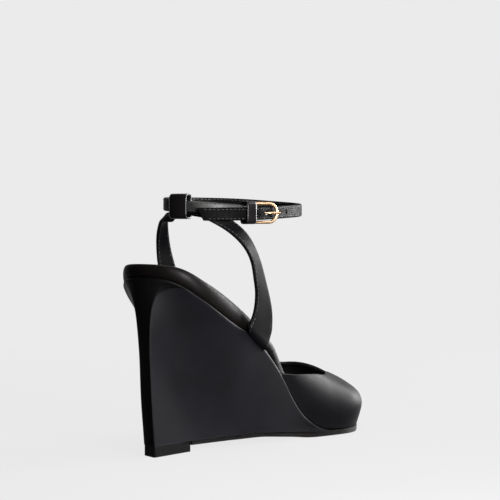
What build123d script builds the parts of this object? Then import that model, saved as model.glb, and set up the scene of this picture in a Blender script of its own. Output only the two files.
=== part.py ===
from build123d import *
import math
import os

os.makedirs("parts", exist_ok=True)

# ------------------------------------------------------------------
# High wedge shoe for the right foot, closed almond toe, open heel,
# ankle strap with a small buckle.
# +X toe, +Y inner side of the foot, +Z up, origin at the middle of
# the ground face of the heel top piece.
# ------------------------------------------------------------------

# driving dimensions (mm)
HEEL_SHIFT = 17.0        # heel back to origin
TOP_PIECE_H = 5.7        # height of the heel top piece
SKIN = 1.3               # leather skin thickness on the wedge
BOARD = 2.0              # insole board thickness
WRAP = 1.2               # footbed wrap leather thickness
UPPER = 1.2              # vamp leather thickness
LINING = 0.8             # vamp lining thickness
SOLE = 3.0               # outsole thickness in the forepart
STRAP_T = 1.6            # ankle strap thickness
BILLET_H = 6.8           # ankle strap width
WIRE = 0.85              # buckle wire radius
RING_A, RING_B = 46.0, 29.0   # half axes of the ankle strap loop
RING_X = 77.0            # middle of the ankle strap loop from heel back


def gx(x):
    return x - HEEL_SHIFT


def interp(tab, x):
    n = len(tab)
    if x <= tab[0][0]:
        return tab[0][1]
    if x >= tab[-1][0]:
        return tab[-1][1]
    h = [tab[i + 1][0] - tab[i][0] for i in range(n - 1)]
    s = [(tab[i + 1][1] - tab[i][1]) / h[i] for i in range(n - 1)]
    m = [s[0]]
    for i in range(1, n - 1):
        if s[i - 1] * s[i] <= 0:
            m.append(0.0)
        else:
            w1, w2 = 2 * h[i] + h[i - 1], h[i] + 2 * h[i - 1]
            m.append((w1 + w2) / (w1 / s[i - 1] + w2 / s[i]))
    m.append(s[-1])
    i = 0
    while x > tab[i + 1][0]:
        i += 1
    t = (x - tab[i][0]) / h[i]
    return ((2 * t**3 - 3 * t**2 + 1) * tab[i][1] + (t**3 - 2 * t**2 + t) * h[i] * m[i]
            + (-2 * t**3 + 3 * t**2) * tab[i + 1][1] + (t**3 - t**2) * h[i] * m[i + 1])


# plan outline of the foot bed / feather edge, outer and inner side
LAT = [(0, 0), (1.5, -9), (5, -15.6), (10, -20.5), (18, -25), (27, -27), (40, -27.3),
       (55, -26.2), (70, -25), (85, -24.6), (100, -25.2), (115, -28.2), (130, -32),
       (142, -33.6), (150, -32.6), (158, -28.9), (168, -22.6), (180, -14.8),
       (190, -8.2), (200, -1), (206, 4.5)]
MED = [(0, 0), (1.5, 9.5), (5, 16.4), (10, 21.3), (18, 25.6), (27, 27.4), (40, 26.8),
       (55, 24.2), (70, 21.4), (85, 20), (100, 21), (115, 25.4), (130, 31), (142, 34),
       (150, 34.8), (158, 34), (168, 31), (180, 25.5), (190, 19.5), (200, 11.4),
       (206, 4.5)]
# joint line between wedge and foot bed / vamp
GROOVE = [(0, 92), (1.5, 91.9), (4.6, 90.6), (9.1, 87.6), (18.1, 81.3), (31.1, 73.6),
          (47.8, 65.5), (55.8, 62.4), (64.9, 57.8), (73.4, 52.5), (82.1, 44.6),
          (90.9, 35.3), (98.8, 24), (105.8, 15.2), (112.2, 9.8), (118.7, 5.9),
          (124.8, 4.2), (131.5, 3.6), (140, 3.4), (165, 3.4), (175, 3.8), (190, 5),
          (206, 7.2)]
# upper face of the foot bed
BED_TOP = [(0, 99), (1.8, 98.8), (6.7, 97.8), (11.3, 95.7), (19, 91), (32.4, 84.2),
           (49.4, 75.4), (59.8, 69.5), (78.8, 56.9), (84.2, 52), (93, 43.8),
           (99.3, 35.6), (106, 28), (113, 21.5), (120, 16.5), (128, 13), (138, 11),
           (150, 10.2), (165, 10), (180, 10.4), (195, 11.5), (206, 12.6)]
# underside of the insole board
BED_LOW = [(x, z) for x, z in GROOVE if x < 92] + [
    (98.8, 25.6), (105.8, 17.6), (112.2, 12.2), (118.7, 8.2), (124.8, 6.4),
    (131.5, 5.8), (140, 5.6), (165, 5.6), (175, 6), (190, 7), (206, 9.2)]
# underside of the wedge
ARCH = [(0, 5.7), (31, 5.7), (47, 6), (63, 6), (76, 6.1), (90, 5.2), (105, 4.1),
        (115, 3.2), (125, 3.0), (165, 3.0), (175, 3.4), (190, 4.6), (206, 6.8)]
SOLE_LOW = [(0, 3.4), (32, 3.4), (60, 3.6), (76, 3.6), (90, 2.6), (105, 1.1),
            (113, 0.2), (118, 0), (154, 0), (165, 0.6), (175, 1.5), (190, 3.0), (206, 5.3)]


def outline(inset, x0=None, x1=None, front_inset=None):
    """closed list of plan points of the foot outline, moved inwards"""
    lat = [(x, interp(LAT, x)) for x in
           (1.5, 5, 10, 18, 27, 40, 55, 70, 85, 100, 115, 130, 142, 150, 158, 168, 180, 190, 200)]
    med = [(x, interp(MED, x)) for x in
           (200, 190, 180, 168, 158, 150, 142, 130, 115, 100, 85, 70, 55, 40, 27, 18, 10, 5, 1.5)]
    pts = [(0, 0)] + lat + [(206, 4.5)] + med
    out = []
    n = len(pts)
    for i in range(n):
        a, b = pts[i - 1], pts[(i + 1) % n]
        dx, dy = b[0] - a[0], b[1] - a[1]
        l = math.hypot(dx, dy)
        k = inset
        if front_inset is not None:
            f = min(1, max(0, (pts[i][0] - 78) / 22.0))
            k = inset + (front_inset - inset) * f * f * (3 - 2 * f)
        out.append((gx(pts[i][0] - dy / l * k), pts[i][1] + dx / l * k))
    return out


def profile(low, high, x0, x1, dlow=0.0, dhigh=0.0, n=26):
    """side view points between two height tables"""
    xs = [x0 + (x1 - x0) * i / n for i in range(n + 1)]
    a = [(gx(x), interp(low, x) + dlow) for x in xs]
    b = [(gx(x), interp(high, x) + dhigh) for x in xs]
    return a, b


# ---- wedge -------------------------------------------------------
XC = [(0, 4.5), (25, 2.9), (50, 1.5), (75, 0.6), (85, 0.2), (95, 0.0)]
LAT_K = [(0, 3.4, -5.6), (25, 1.7, -5.4), (50, 0.3, -5.2), (65, -0.1, -5.3), (75, 0.0, -6.1),
         (80, 1.2, -7.2), (84, 3.6, -10.0), (87, 6.6, -14.6), (90, 8.6, -18.2), (96, 9.2, -19.8)]
MED_K = [(0, 5.8, 3.4), (25, 4.0, 3.7), (50, 2.7, 3.9), (65, 2.2, 4.8), (75, 2.6, 6.9),
         (80, 3.5, 9.6), (84, 5.0, 13.4), (87, 7.0, 17.6), (90, 8.8, 19.6), (96, 9.2, 20.6)]
LAT_B = [(14, -6.6), (22, -7.2), (32, -8.3), (45, -11), (60, -14.6), (75, -18.3),
         (90, -22.1), (105, -24.9), (120, -28.8)]
MED_B = [(14, 4.2), (22, 4.6), (32, 5.6), (45, 8), (60, 11.2), (75, 14.6), (90, 18),
         (105, 21.4), (120, 26)]
POW = [(14, 4.2), (22, 2.7), (32, 1.9), (45, 1.5), (60, 1.25), (75, 1.1), (120, 1.0)]
STATIONS = (16, 24, 34, 47, 62, 78, 92, 106, 119)
LEVELS = (0.5, 20, 40, 58, 70, 77, 82, 86, 90, 95)


def wedge_half(side, z, inset):
    """points of one wedge side at height z, corner first"""
    sgn = -1 if side == "lat" else 1
    kt = LAT_K if side == "lat" else MED_K
    kx = interp([(a, b) for a, b, c in kt], z)
    ky = interp([(a, c) for a, b, c in kt], z)
    bt, ot = (LAT_B, LAT) if side == "lat" else (MED_B, MED)
    pts = [(gx(kx + inset), ky - sgn * inset)]
    for x in STATIONS:
        zt = interp(GROOVE, x)
        t = min(1.0, max(0.0, (z - 5.7) / max(zt - 5.7, 0.6)))
        g = t ** interp(POW, x)
        y = interp(bt, x) * (1 - g) + (interp(ot, x) - sgn * 0.4) * g
        pts.append((gx(x), y - sgn * inset))
    return pts


def wedge_faces(inset):
    """horizontal sections of the wedge, drawn one above the other"""
    out = []
    for z in LEVELS:
        lat = wedge_half("lat", z, inset)
        med = wedge_half("med", z, inset)
        back = (gx(interp(XC, z) + inset - 0.25), (lat[0][1] + med[0][1]) / 2)
        with BuildSketch(Plane.XY.offset(z)) as sk:
            with BuildLine():
                Spline(*lat)
                Line(lat[-1], med[-1])
                Spline(*reversed(med))
                ThreePointArc(med[0], back, lat[0])
            make_face()
        out.append(sk.sketch)
    return out


def side_band(low, high, x0, x1, dlow=0.0, dhigh=0.0, mode=Mode.INTERSECT):
    a, b = profile(low, high, x0, x1, dlow, dhigh)
    with BuildSketch(Plane.XZ) as sk:
        with BuildLine():
            Spline(*a)
            Line(a[-1], b[-1])
            Spline(*reversed(b))
            Line(b[0], a[0])
        make_face()
    extrude(sk.sketch, amount=60, both=True, mode=mode)


WEDGE_END = 117.0

with BuildPart() as wedge_core:
    loft(wedge_faces(SKIN), ruled=True)
    side_band(ARCH, GROOVE, -3, WEDGE_END, 0.12, -0.16)

with BuildPart() as wedge_cover:
    loft(wedge_faces(0), ruled=True)
    loft(wedge_faces(SKIN), ruled=True, mode=Mode.SUBTRACT)
    side_band(ARCH, GROOVE, -3, WEDGE_END, 0.12, -0.16)

# ---- heel top piece ------------------------------------------------
TP = [(2.4, -6.3), (31.7, -6.9), (31.7, 4.0), (6.3, 3.6)]
with BuildPart() as heel_top_piece:
    with BuildSketch(Plane.XY):
        with BuildLine():
            Polyline(*[(gx(x), y) for x, y in TP], close=True)
        make_face()
    extrude(amount=TOP_PIECE_H)
    fillet(heel_top_piece.edges().filter_by(Axis.Z), 0.8)
    with Locations((gx(12), -1.2, TOP_PIECE_H), (gx(24), -1.3, TOP_PIECE_H)):
        Hole(1.5, depth=3.7)

with BuildPart() as top_piece_pins:
    with Locations((gx(12), -1.2, 2.0), (gx(24), -1.3, 2.0)):
        Cylinder(1.5, 14.0, align=(Align.CENTER, Align.CENTER, Align.MIN))

with BuildPart() as pin_tool:
    with Locations((gx(12), -1.2, 1.0), (gx(24), -1.3, 1.0)):
        Cylinder(1.5, 15.0, align=(Align.CENTER, Align.CENTER, Align.MIN))

# ---- outsole -------------------------------------------------------
SO_L = [(x, -v) for x, v in ((32, 7.4), (45, 10.2), (60, 13.8), (75, 17.5), (90, 21.3),
        (105, 24.2), (118, 27.6), (130, 30.6), (142, 32.4), (150, 31.5), (158, 27.8),
        (168, 21.5), (180, 13.6), (190, 7.0), (198, 1.0))]
SO_M = [(32, 4.6), (45, 7), (60, 10.2), (75, 13.6), (90, 17), (105, 20.4), (118, 25),
        (130, 29.8), (142, 32.8), (150, 33.6), (158, 32.8), (168, 29.8), (180, 24.2),
        (190, 18), (198, 11)]
with BuildPart() as outsole:
    with BuildSketch(Plane.XY.offset(-2)):
        with BuildLine():
            Spline(*[(gx(x), y) for x, y in SO_L], (gx(204.6), 4.7),
                   *[(gx(x), y) for x, y in reversed(SO_M)])
            Line((gx(SO_L[0][0]), SO_L[0][1]), (gx(SO_M[0][0]), SO_M[0][1]))
        make_face()
    extrude(amount=14)
    side_band(SOLE_LOW, ARCH, 30, 206)

# ---- foot bed ------------------------------------------------------
def plan_block(inset, front_inset, z0=-2, z1=120):
    with BuildSketch(Plane.XY.offset(z0)) as sk:
        with BuildLine():
            Spline(*outline(inset, front_inset=front_inset), periodic=True)
        make_face()
    extrude(sk.sketch, amount=z1 - z0)


with BuildPart() as insole_board:
    plan_block(2.4, 6.4)
    side_band(BED_LOW, BED_LOW, -3, 200, 0.0, BOARD)

with BuildPart() as footbed_pad:
    plan_block(2.4, 6.4)
    side_band(BED_LOW, BED_TOP, -3, 200, BOARD, -WRAP)

with BuildPart() as footbed_cover:
    plan_block(0.0, 4.4)
    side_band(BED_LOW, BED_TOP, -3, 206)
    with BuildSketch(Plane.XY.offset(-3)):
        with BuildLine():
            Spline(*outline(2.4, front_inset=6.4), periodic=True)
        make_face()
    extrude(amount=130, mode=Mode.SUBTRACT)
with BuildPart() as footbed_sock:
    plan_block(2.4, 6.4)
    side_band(BED_TOP, BED_TOP, -3, 206, -WRAP, 0.0)

# ---- shank, rivets, nails, screw -------------------------------------
SHANK = [(22, 77.2), (40, 68.0), (60, 59.5), (76, 49.5), (90, 35.4), (104, 18.3), (116, 8.0)]


def shank_pts(off):
    out = []
    for i in range(14):
        x = 24 + (112 - 24) * i / 13
        out.append((gx(x), interp(BED_LOW, x) + off))
    return out


with BuildPart() as shank:
    with BuildSketch(Plane.XZ):
        with BuildLine():
            lo, hi = shank_pts(-2.0), shank_pts(-0.2)
            Spline(*lo)
            Line(lo[-1], hi[-1])
            Spline(*reversed(hi))
            Line(hi[0], lo[0])
        make_face()
    extrude(amount=5.5, both=True)
    with Locations((gx(30), 0, 100), (gx(92), 0, 60)):
        Cylinder(1.6, 120, mode=Mode.SUBTRACT)

with BuildPart() as shank_tool:
    with BuildSketch(Plane.XZ):
        with BuildLine():
            lo, hi = shank_pts(-2.1), shank_pts(0.3)
            Spline(*lo)
            Line(lo[-1], hi[-1])
            Spline(*reversed(hi))
            Line(hi[0], lo[0])
        make_face()
    extrude(amount=5.6, both=True)

Z30, Z92 = interp(BED_LOW, 30), interp(BED_LOW, 92)
with BuildPart() as shank_rivets:
    with Locations((gx(30), 0, Z30 - 4.6), (gx(92), 0, Z92 - 6.4)):
        Cylinder(1.6, 7.2, align=(Align.CENTER, Align.CENTER, Align.MIN))

NAILS = [(14, -9), (14, 9), (22, -13), (22, 13), (9.5, 0)]
with BuildPart() as heel_nails:
    with Locations(*[(gx(x), y, interp(BED_LOW, x) - 13) for x, y in NAILS]):
        Cylinder(0.9, 16.6, align=(Align.CENTER, Align.CENTER, Align.MIN))
with BuildPart() as nail_tool:
    with Locations(*[(gx(x), y, interp(BED_LOW, x) - 13) for x, y in NAILS]):
        Cylinder(0.9, 19, align=(Align.CENTER, Align.CENTER, Align.MIN))

ZS = interp(BED_LOW, 17)
with BuildPart() as heel_screw:
    with Locations((gx(17), 0, ZS - 24)):
        Cylinder(1.9, 26, align=(Align.CENTER, Align.CENTER, Align.MIN))
    with Locations((gx(17), 0, ZS + 1.0)):
        Cylinder(3.6, 2.2, align=(Align.CENTER, Align.CENTER, Align.MIN))

for piece in (wedge_core,):
    with piece:
        add(shank_tool.part, mode=Mode.SUBTRACT)
        add(shank_rivets.part, mode=Mode.SUBTRACT)
        add(heel_nails.part, mode=Mode.SUBTRACT)
        add(heel_screw.part, mode=Mode.SUBTRACT)
        add(pin_tool.part, mode=Mode.SUBTRACT)
for piece in (insole_board, footbed_pad):
    with piece:
        add(shank_rivets.part, mode=Mode.SUBTRACT)
        add(heel_nails.part, mode=Mode.SUBTRACT)
        add(heel_screw.part, mode=Mode.SUBTRACT)
with insole_board:
    add(shank_tool.part, mode=Mode.SUBTRACT)

# ---- vamp ------------------------------------------------------------
VAMP_TOP = [(86, 74), (100, 66), (108, 60), (115, 55), (122, 49.2), (130, 43.8), (140, 40.0),
            (150, 38.0), (156, 37.3), (163, 34.9), (171, 30.4), (180, 25.8), (190, 20.6),
            (198, 16.4), (206.5, 12)]
# section of the vamp (share of half width, share of height): at the toe and at the throat
SHAPE = [(-0.965, 0.0), (-1.01, 0.12), (-1.06, 0.26), (-1.08, 0.39), (-1.03, 0.53),
         (-0.93, 0.62), (-0.77, 0.708), (-0.55, 0.802), (-0.3, 0.882), (-0.06, 0.955),
         (0.25, 1.0), (0.6, 0.965), (0.88, 0.81), (1.02, 0.55), (1.05, 0.3), (1.035, 0.12),
         (1.0, 0.0)]
SHAPE_BACK = [(-0.985, 0.0), (-1.02, 0.12), (-1.055, 0.28), (-1.04, 0.42), (-0.98, 0.55),
              (-0.87, 0.68), (-0.70, 0.79), (-0.48, 0.87), (-0.2, 0.935), (0.03, 0.975),
              (0.27, 1.0), (0.6, 0.965), (0.88, 0.81), (1.02, 0.55), (1.05, 0.3),
              (1.035, 0.12), (1.0, 0.0)]
VAMP_X = (86, 94, 102, 110, 118, 126, 134, 142, 150, 157, 164, 172, 180, 188, 195, 201, 205.2)


def vamp_section(x, inset):
    yl, ym = interp(LAT, x), interp(MED, x)
    yc, a = (yl + ym) / 2, (ym - yl) / 2
    z0, z1 = interp(GROOVE, x) + 0.05, interp(VAMP_TOP, x)
    a = max(a - inset, 0.9)
    h = max(z1 - z0 - inset, 1.6)
    k = min(1.0, max(0.0, (x - 126) / 30.0))
    k = k * k * (3 - 2 * k)
    return [(yc + a * (p * k + pb * (1 - k)), z0 + h * (q * k + qb * (1 - k)))
            for (p, q), (pb, qb) in zip(SHAPE, SHAPE_BACK)]


def vamp_solid(inset, xs):
    out = []
    for x in xs:
        pts = vamp_section(x, inset)
        with BuildSketch(Plane(origin=(gx(x), 0, 0), x_dir=(0, 1, 0), z_dir=(1, 0, 0))) as sk:
            with BuildLine():
                Spline(*pts)
                Line(pts[-1], pts[0])
            make_face()
        out.append(sk.sketch)
    loft(out, ruled=True)


def throat_cut(extra=0.0):
    """opening of the vamp: plan cut over the instep, height cut at the sides"""
    plan = [(80, -22), (110, -23), (117, -25.9), (122, -26.4), (126, -26.0), (130, -24.9),
            (135, -22.0), (140, -18.2), (150, -12.4), (163, -6)]
    plan2 = [(163, -6), (161.6, -2.6), (159.6, 2), (157.3, 8.3), (155.6, 15), (153, 20.5),
             (148, 25.5), (140, 27.6), (130, 26.6), (118, 23), (105, 18), (80, 17)]
    with BuildSketch(Plane.XY.offset(-5)) as sk:
        with BuildLine():
            Spline(*[(gx(x), y) for x, y in plan])
            Spline(*[(gx(x), y) for x, y in plan2])
            Line((gx(80), 17), (gx(80), -22))
        make_face()
    extrude(sk.sketch, amount=120, mode=Mode.SUBTRACT)
    with BuildSketch(Plane.XZ) as sk:
        with BuildLine():
            Polyline((gx(70), 36.7), (gx(92), 36.7), (gx(152), 37.3), (gx(152), 90),
                     (gx(70), 90), close=True)
        make_face()
    extrude(sk.sketch, amount=60, both=True, mode=Mode.SUBTRACT)


with BuildPart() as vamp_outer:
    vamp_solid(0.0, VAMP_X)
with BuildPart() as vamp_mid:
    vamp_solid(UPPER, VAMP_X[:-1] + (203.4,))
with BuildPart() as vamp_inner:
    vamp_solid(UPPER + LINING, VAMP_X[:-1] + (201.8,))

with BuildPart() as front_box:
    with BuildSketch(Plane.XZ):
        with BuildLine():
            Polyline((gx(88.5), 0), (gx(210), 0), (gx(210), 80), (gx(88.5), 80), close=True)
        make_face()
    extrude(amount=60, both=True)
with BuildPart() as puff_box:
    with Locations((gx(182), 4, 36)):
        Box(28, 90, 40)

with vamp_outer:
    add(vamp_mid.part, mode=Mode.SUBTRACT)
    throat_cut()
    add(front_box.part, mode=Mode.INTERSECT)
lining_mid = vamp_mid.part
with BuildPart() as vamp_lining:
    add(lining_mid)
    add(vamp_inner.part, mode=Mode.SUBTRACT)
    throat_cut()
    add(front_box.part, mode=Mode.INTERSECT)
with BuildPart() as toe_puff:
    vamp_solid(UPPER + LINING, VAMP_X[10:-1] + (201.8,))
with BuildPart() as toe_puff_in:
    vamp_solid(UPPER + LINING + 0.7, VAMP_X[10:-1] + (200.9,))
with toe_puff:
    add(toe_puff_in.part, mode=Mode.SUBTRACT)
    add(puff_box.part, mode=Mode.INTERSECT)
for piece in (vamp_outer, vamp_lining, toe_puff):
    with piece:
        add(wedge_cover.part, mode=Mode.SUBTRACT)
        add(wedge_core.part, mode=Mode.SUBTRACT)
        add(outsole.part, mode=Mode.SUBTRACT)
        for other in (footbed_cover, footbed_sock, footbed_pad, insole_board):
            add(other.part, mode=Mode.SUBTRACT)

def ring_point(deg, off):
    """plan point on the ankle loop, 0 = front, 90 = outer side, moved outwards"""
    c, s = math.cos(math.radians(deg)), math.sin(math.radians(deg))
    x, y = RING_X + RING_A * c, -RING_B * s
    nx, ny = c / RING_A, -s / RING_B
    l = math.hypot(nx, ny)
    return x + nx / l * off, y + ny / l * off, nx / l, ny / l


# ---- sling arms --------------------------------------------------------
# x, y, z of the middle, width, outward normal in plan
def arm_row(deg, z):
    x, y, nx, ny = ring_point(deg, -2.75)
    return (x, y, z, 5.8, nx, ny)


ARM_L = [(66.0, -26.6, 56.5, 17.5, 0, -1), (65.6, -27.4, 63, 16.4, 0, -1),
         (64.3, -29.0, 71.4, 14.2, 0, -1), (63.4, -30.2, 79, 11.4, 0, -1),
         (60.6, -30.9, 88, 8.8, -0.05, -1), (57.5, -31, 96.5, 7.6, -0.1, -1),
         (54.0, -29.6, 105.4, 6.8, -0.3, -0.95), (50.9, -26.4, 112.6, 6.3, -0.5, -0.87),
         (48.9, -20.9, 118.6, 5.8, -0.62, -0.78)] + [
    arm_row(d, z) for d, z in ((142, 121.8), (150, 123.6), (158, 124.9), (165, 125.7),
                               (172, 126.0), (179.6, 126.1))]
ARM_M = [(66.0, 22.8, 56.5, 17.5, 0, 1), (65.6, 24.3, 63, 16.4, 0, 1),
         (64.3, 27.2, 71.4, 14.2, 0, 1), (63.4, 29.4, 79, 11.4, 0, 1),
         (60.6, 30.6, 88, 8.8, -0.05, 1), (57.5, 31, 96.5, 7.6, -0.1, 1),
         (53.8, 29.6, 105.4, 6.8, -0.3, 0.95), (50.0, 26.6, 112.0, 6.3, -0.5, 0.87),
         (45.6, 22.2, 116.6, 5.8, -0.62, 0.78), (41.0, 16.6, 119.4, 5.8, -0.72, 0.69)] + [
    arm_row(d, z) for d, z in ((202, 123.6), (195, 126.1), (188, 126.6), (180.4, 126.4))]


def strap_loft(rows, off, thick):
    n = len(rows)
    out = []
    for i in range(n):
        x, y, z, w, nx, ny = rows[i]
        a, b = rows[max(i - 1, 0)], rows[min(i + 1, n - 1)]
        t = Vector(b[0] - a[0], b[1] - a[1], b[2] - a[2]).normalized()
        if i == n - 1:
            t = Vector(0, 1 if rows is ARM_L else -1, 0.0)
        if i == 0:
            t = Vector(0, 0, 1)
        nv = Vector(nx, ny, 0).normalized()
        nv = (nv - t * nv.dot(t)).normalized()
        o = Vector(gx(x), y, z) + nv * off
        with BuildSketch(Plane(origin=(o.X, o.Y, o.Z), x_dir=(nv.X, nv.Y, nv.Z),
                               z_dir=(t.X, t.Y, t.Z))) as sk:
            Rectangle(thick, w)
        out.append(sk.sketch)
    loft(out, ruled=True)


ARM_T = 0.95
with BuildPart() as lateral_sling_strap:
    strap_loft(ARM_L, 0.5, ARM_T)
with BuildPart() as lateral_sling_lining:
    strap_loft(ARM_L, -0.5, ARM_T)
with BuildPart() as medial_sling_strap:
    strap_loft(ARM_M, 0.5, ARM_T)
with BuildPart() as medial_sling_lining:
    strap_loft(ARM_M, -0.5, ARM_T)
for piece in (lateral_sling_strap, lateral_sling_lining, medial_sling_strap,
              medial_sling_lining):
    with piece:
        for other in (wedge_cover, wedge_core, footbed_cover):
            add(other.part, mode=Mode.SUBTRACT)

# ---- back loop ------------------------------------------------------------
# ---- ankle strap ------------------------------------------------------------
RING_Z = [(-200, 130.0), (-180, 128.6), (-120, 129.8), (-60, 129.4), (0, 127.2), (50, 125.8),
          (90, 124.9), (110, 124.3), (160, 124.0)]


def ring_strap(degs, off_fn, z_fn, height_fn, thick):
    out = []
    for d in degs:
        x, y, nx, ny = ring_point(d, off_fn(d))
        t = (-ny, nx, 0)
        with BuildSketch(Plane(origin=(gx(x), y, z_fn(d)), x_dir=(nx, ny, 0),
                               z_dir=t)) as sk:
            Rectangle(thick, height_fn(d))
        out.append(sk.sketch)
    loft(out, ruled=True)


# billet: from the back loop round the inner side and the front to the tip
BILLET_DEG = [-176 + i * 12 for i in range(21)] + [74, 84, 92, 96, 100, 104, 108, 112, 118,
                                                   126, 134, 142, 150, 157]
BILLET_OFF = [(-180, 0), (74, 0.0), (84.5, 0.2), (94.5, 1.0), (102, 2.0), (107, 2.7), (112, 2.9),
              (125, 2.8), (157, 2.6)]
HOLE_DEG = 102.8
with BuildPart() as ankle_strap_billet:
    ring_strap(BILLET_DEG, lambda d: interp(BILLET_OFF, d), lambda d: interp(RING_Z, d),
               lambda d: BILLET_H, STRAP_T)
    # slanted tip
    tx, ty, tnx, tny = ring_point(157, 2.6)
    with BuildSketch(Plane(origin=(gx(tx), ty, 120.6), x_dir=(-tny, tnx, 0),
                           z_dir=(tnx, tny, 0))) as sk:
        with BuildLine():
            Polyline((-0.3, -1), (4.2, -1), (-0.3, 7.6), (-4, 7.6), (-4, -1), close=True)
        make_face()
    extrude(sk.sketch, amount=3, both=True, mode=Mode.SUBTRACT)
    # prong hole and two spare holes
    for deg, rx, ry in ((HOLE_DEG, 3.0, 1.3), (87, 0.9, 0.9), (79, 0.9, 0.9)):
        hx, hy, hnx, hny = ring_point(deg, 2.0)
        pl = Plane(origin=(gx(hx), hy, interp(RING_Z, deg)), x_dir=(-hny, hnx, 0),
                   z_dir=(hnx, hny, 0))
        with BuildSketch(pl) as sk:
            Ellipse(rx, ry)
        extrude(sk.sketch, amount=4, both=True, mode=Mode.SUBTRACT)

# ---- buckle ----------------------------------------------------------------
BAR_DEG, END_DEG = 111.7, 94.4
BAR_OFF = -0.2
bar = ring_point(BAR_DEG, BAR_OFF)
end = ring_point(END_DEG, interp(BILLET_OFF, END_DEG) + STRAP_T / 2 + WIRE + 0.75)
FRAME_L = math.hypot(end[0] - bar[0], end[1] - bar[1])
TX, TY = (end[0] - bar[0]) / FRAME_L, (end[1] - bar[1]) / FRAME_L
NX, NY = TY, -TX          # outward normal of the tilted frame
BUCKLE_Z = 124.7
HALF_H = 4.95
FR = Plane(origin=(gx(bar[0]), bar[1], BUCKLE_Z), x_dir=(TX, TY, 0), z_dir=(NX, NY, 0))
BAR_R, EYE_R = 0.75, 1.6

STRAIGHT = FRAME_L - HALF_H


def wire_at(point, direction, radius, length):
    """round bar from a local point of the buckle plane"""
    o = FR.from_local_coords(Vector(*point))
    with BuildSketch(Plane(origin=o, z_dir=direction)) as sk:
        Circle(radius)
    extrude(sk.sketch, amount=length)


with BuildPart() as buckle_frame:
    wire_at((0, -HALF_H, 0), (TX, TY, 0), WIRE, STRAIGHT)
    wire_at((0, HALF_H, 0), (TX, TY, 0), WIRE, STRAIGHT)
    wire_at((0, -HALF_H, 0), (0, 0, 1), BAR_R, 2 * HALF_H)
    for v in (-HALF_H, HALF_H):
        c = FR.from_local_coords(Vector(0, v, 0))
        with Locations((c.X, c.Y, c.Z)):
            Sphere(WIRE)

with BuildPart() as buckle_bow:
    with BuildSketch(Plane(origin=FR.from_local_coords(Vector(STRAIGHT, -HALF_H, 0)),
                           x_dir=(0, 0, 1), z_dir=(TX, TY, 0))):
        Circle(WIRE)
    mid = FR.from_local_coords(Vector(STRAIGHT, 0, 0))
    revolve(axis=Axis((mid.X, mid.Y, mid.Z), (NX, NY, 0)), revolution_arc=180)
with buckle_frame:
    add(buckle_bow.part)

# prong: eye round the bar, low run under the billet, up through the hole, over the frame
PR = 0.6
TIP = WIRE + PR + 0.06
with BuildPart() as buckle_prong:
    with Locations(Plane(origin=FR.from_local_coords(Vector(0, -0.9, 0)),
                         x_dir=(TX, TY, 0), z_dir=(0, 0, 1))):
        Cylinder(1.5, 1.8, align=(Align.CENTER, Align.CENTER, Align.MIN))
    PLN = Plane(origin=(gx(bar[0]), bar[1], BUCKLE_Z), x_dir=(TX, TY, 0), z_dir=(0, 0, 1))
    # in PLN the y axis points towards the foot, so outward is negative
    with BuildLine(PLN) as pth:
        Spline((1.0, 0.1), (3.4, 0.0), (5.2, 0.0), (6.8, -0.6), (8.6, -1.5), (10.6, -1.75),
               (12.6, -1.65), (FRAME_L + 0.9, -TIP))
    p0 = PLN.from_local_coords(Vector(1.0, 0.1, 0))
    with BuildSketch(Plane(origin=p0, x_dir=(0, 0, 1), z_dir=(TX, TY, 0))) as sk:
        Circle(PR)
    sweep(sk.sketch, path=pth.line)
    with Locations(Plane(origin=FR.from_local_coords(Vector(0, -2, 0)),
                         x_dir=(TX, TY, 0), z_dir=(0, 0, 1))):
        Cylinder(BAR_R + 0.06, 4, align=(Align.CENTER, Align.CENTER, Align.MIN),
                 mode=Mode.SUBTRACT)

# chape: from the back loop along the outer side to the buckle bar, folded round the bar
CHAPE_Z = [(103, 125.2), (116, 125.6), (128, 126.5), (150, 127.6), (180, 128.4)]
with BuildPart() as ankle_strap_chape:
    ring_strap([177, 171, 162, 152, 142, 132, 124, 118, 112.4], lambda d: interp(
        [(108, BAR_OFF), (122, 0.0), (180, 0.0)], d),
        lambda d: interp(CHAPE_Z, d), lambda d: 5.6, STRAP_T)
    with Locations(Plane(origin=FR.from_local_coords(Vector(0, -2.3, 0)),
                         x_dir=(TX, TY, 0), z_dir=(0, 0, 1))):
        Cylinder(EYE_R, 5.6, align=(Align.CENTER, Align.CENTER, Align.MIN))
    with Locations(Plane(origin=FR.from_local_coords(Vector(0, -4, 0)),
                         x_dir=(TX, TY, 0), z_dir=(0, 0, 1))):
        Cylinder(BAR_R + 0.06, 12, align=(Align.CENTER, Align.CENTER, Align.MIN),
                 mode=Mode.SUBTRACT)
    with BuildSketch(Plane(origin=FR.from_local_coords(Vector(0, -1.2, 0)),
                           x_dir=(TX, TY, 0), z_dir=(0, 0, 1))) as sk:
        with Locations((0.6, 0)):
            Rectangle(5.2, 6)
    extrude(sk.sketch, amount=2.4, mode=Mode.SUBTRACT)

# ---- small keeper next to the buckle ------------------------------------------
KP_DEG = 118.0
kp = ring_point(KP_DEG, 0)
KP = Plane(origin=(gx(kp[0]), kp[1], 124.9), x_dir=(kp[2], kp[3], 0), z_dir=(-kp[3], kp[2], 0))
with BuildPart() as buckle_keeper:
    with BuildSketch(KP) as sk:
        with Locations((1.4, 0)):
            RectangleRounded(7.4, 12.2, 1.6)
            RectangleRounded(5.6, 10.4, 0.8, mode=Mode.SUBTRACT)
    extrude(sk.sketch, amount=2.8, both=True)

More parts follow.
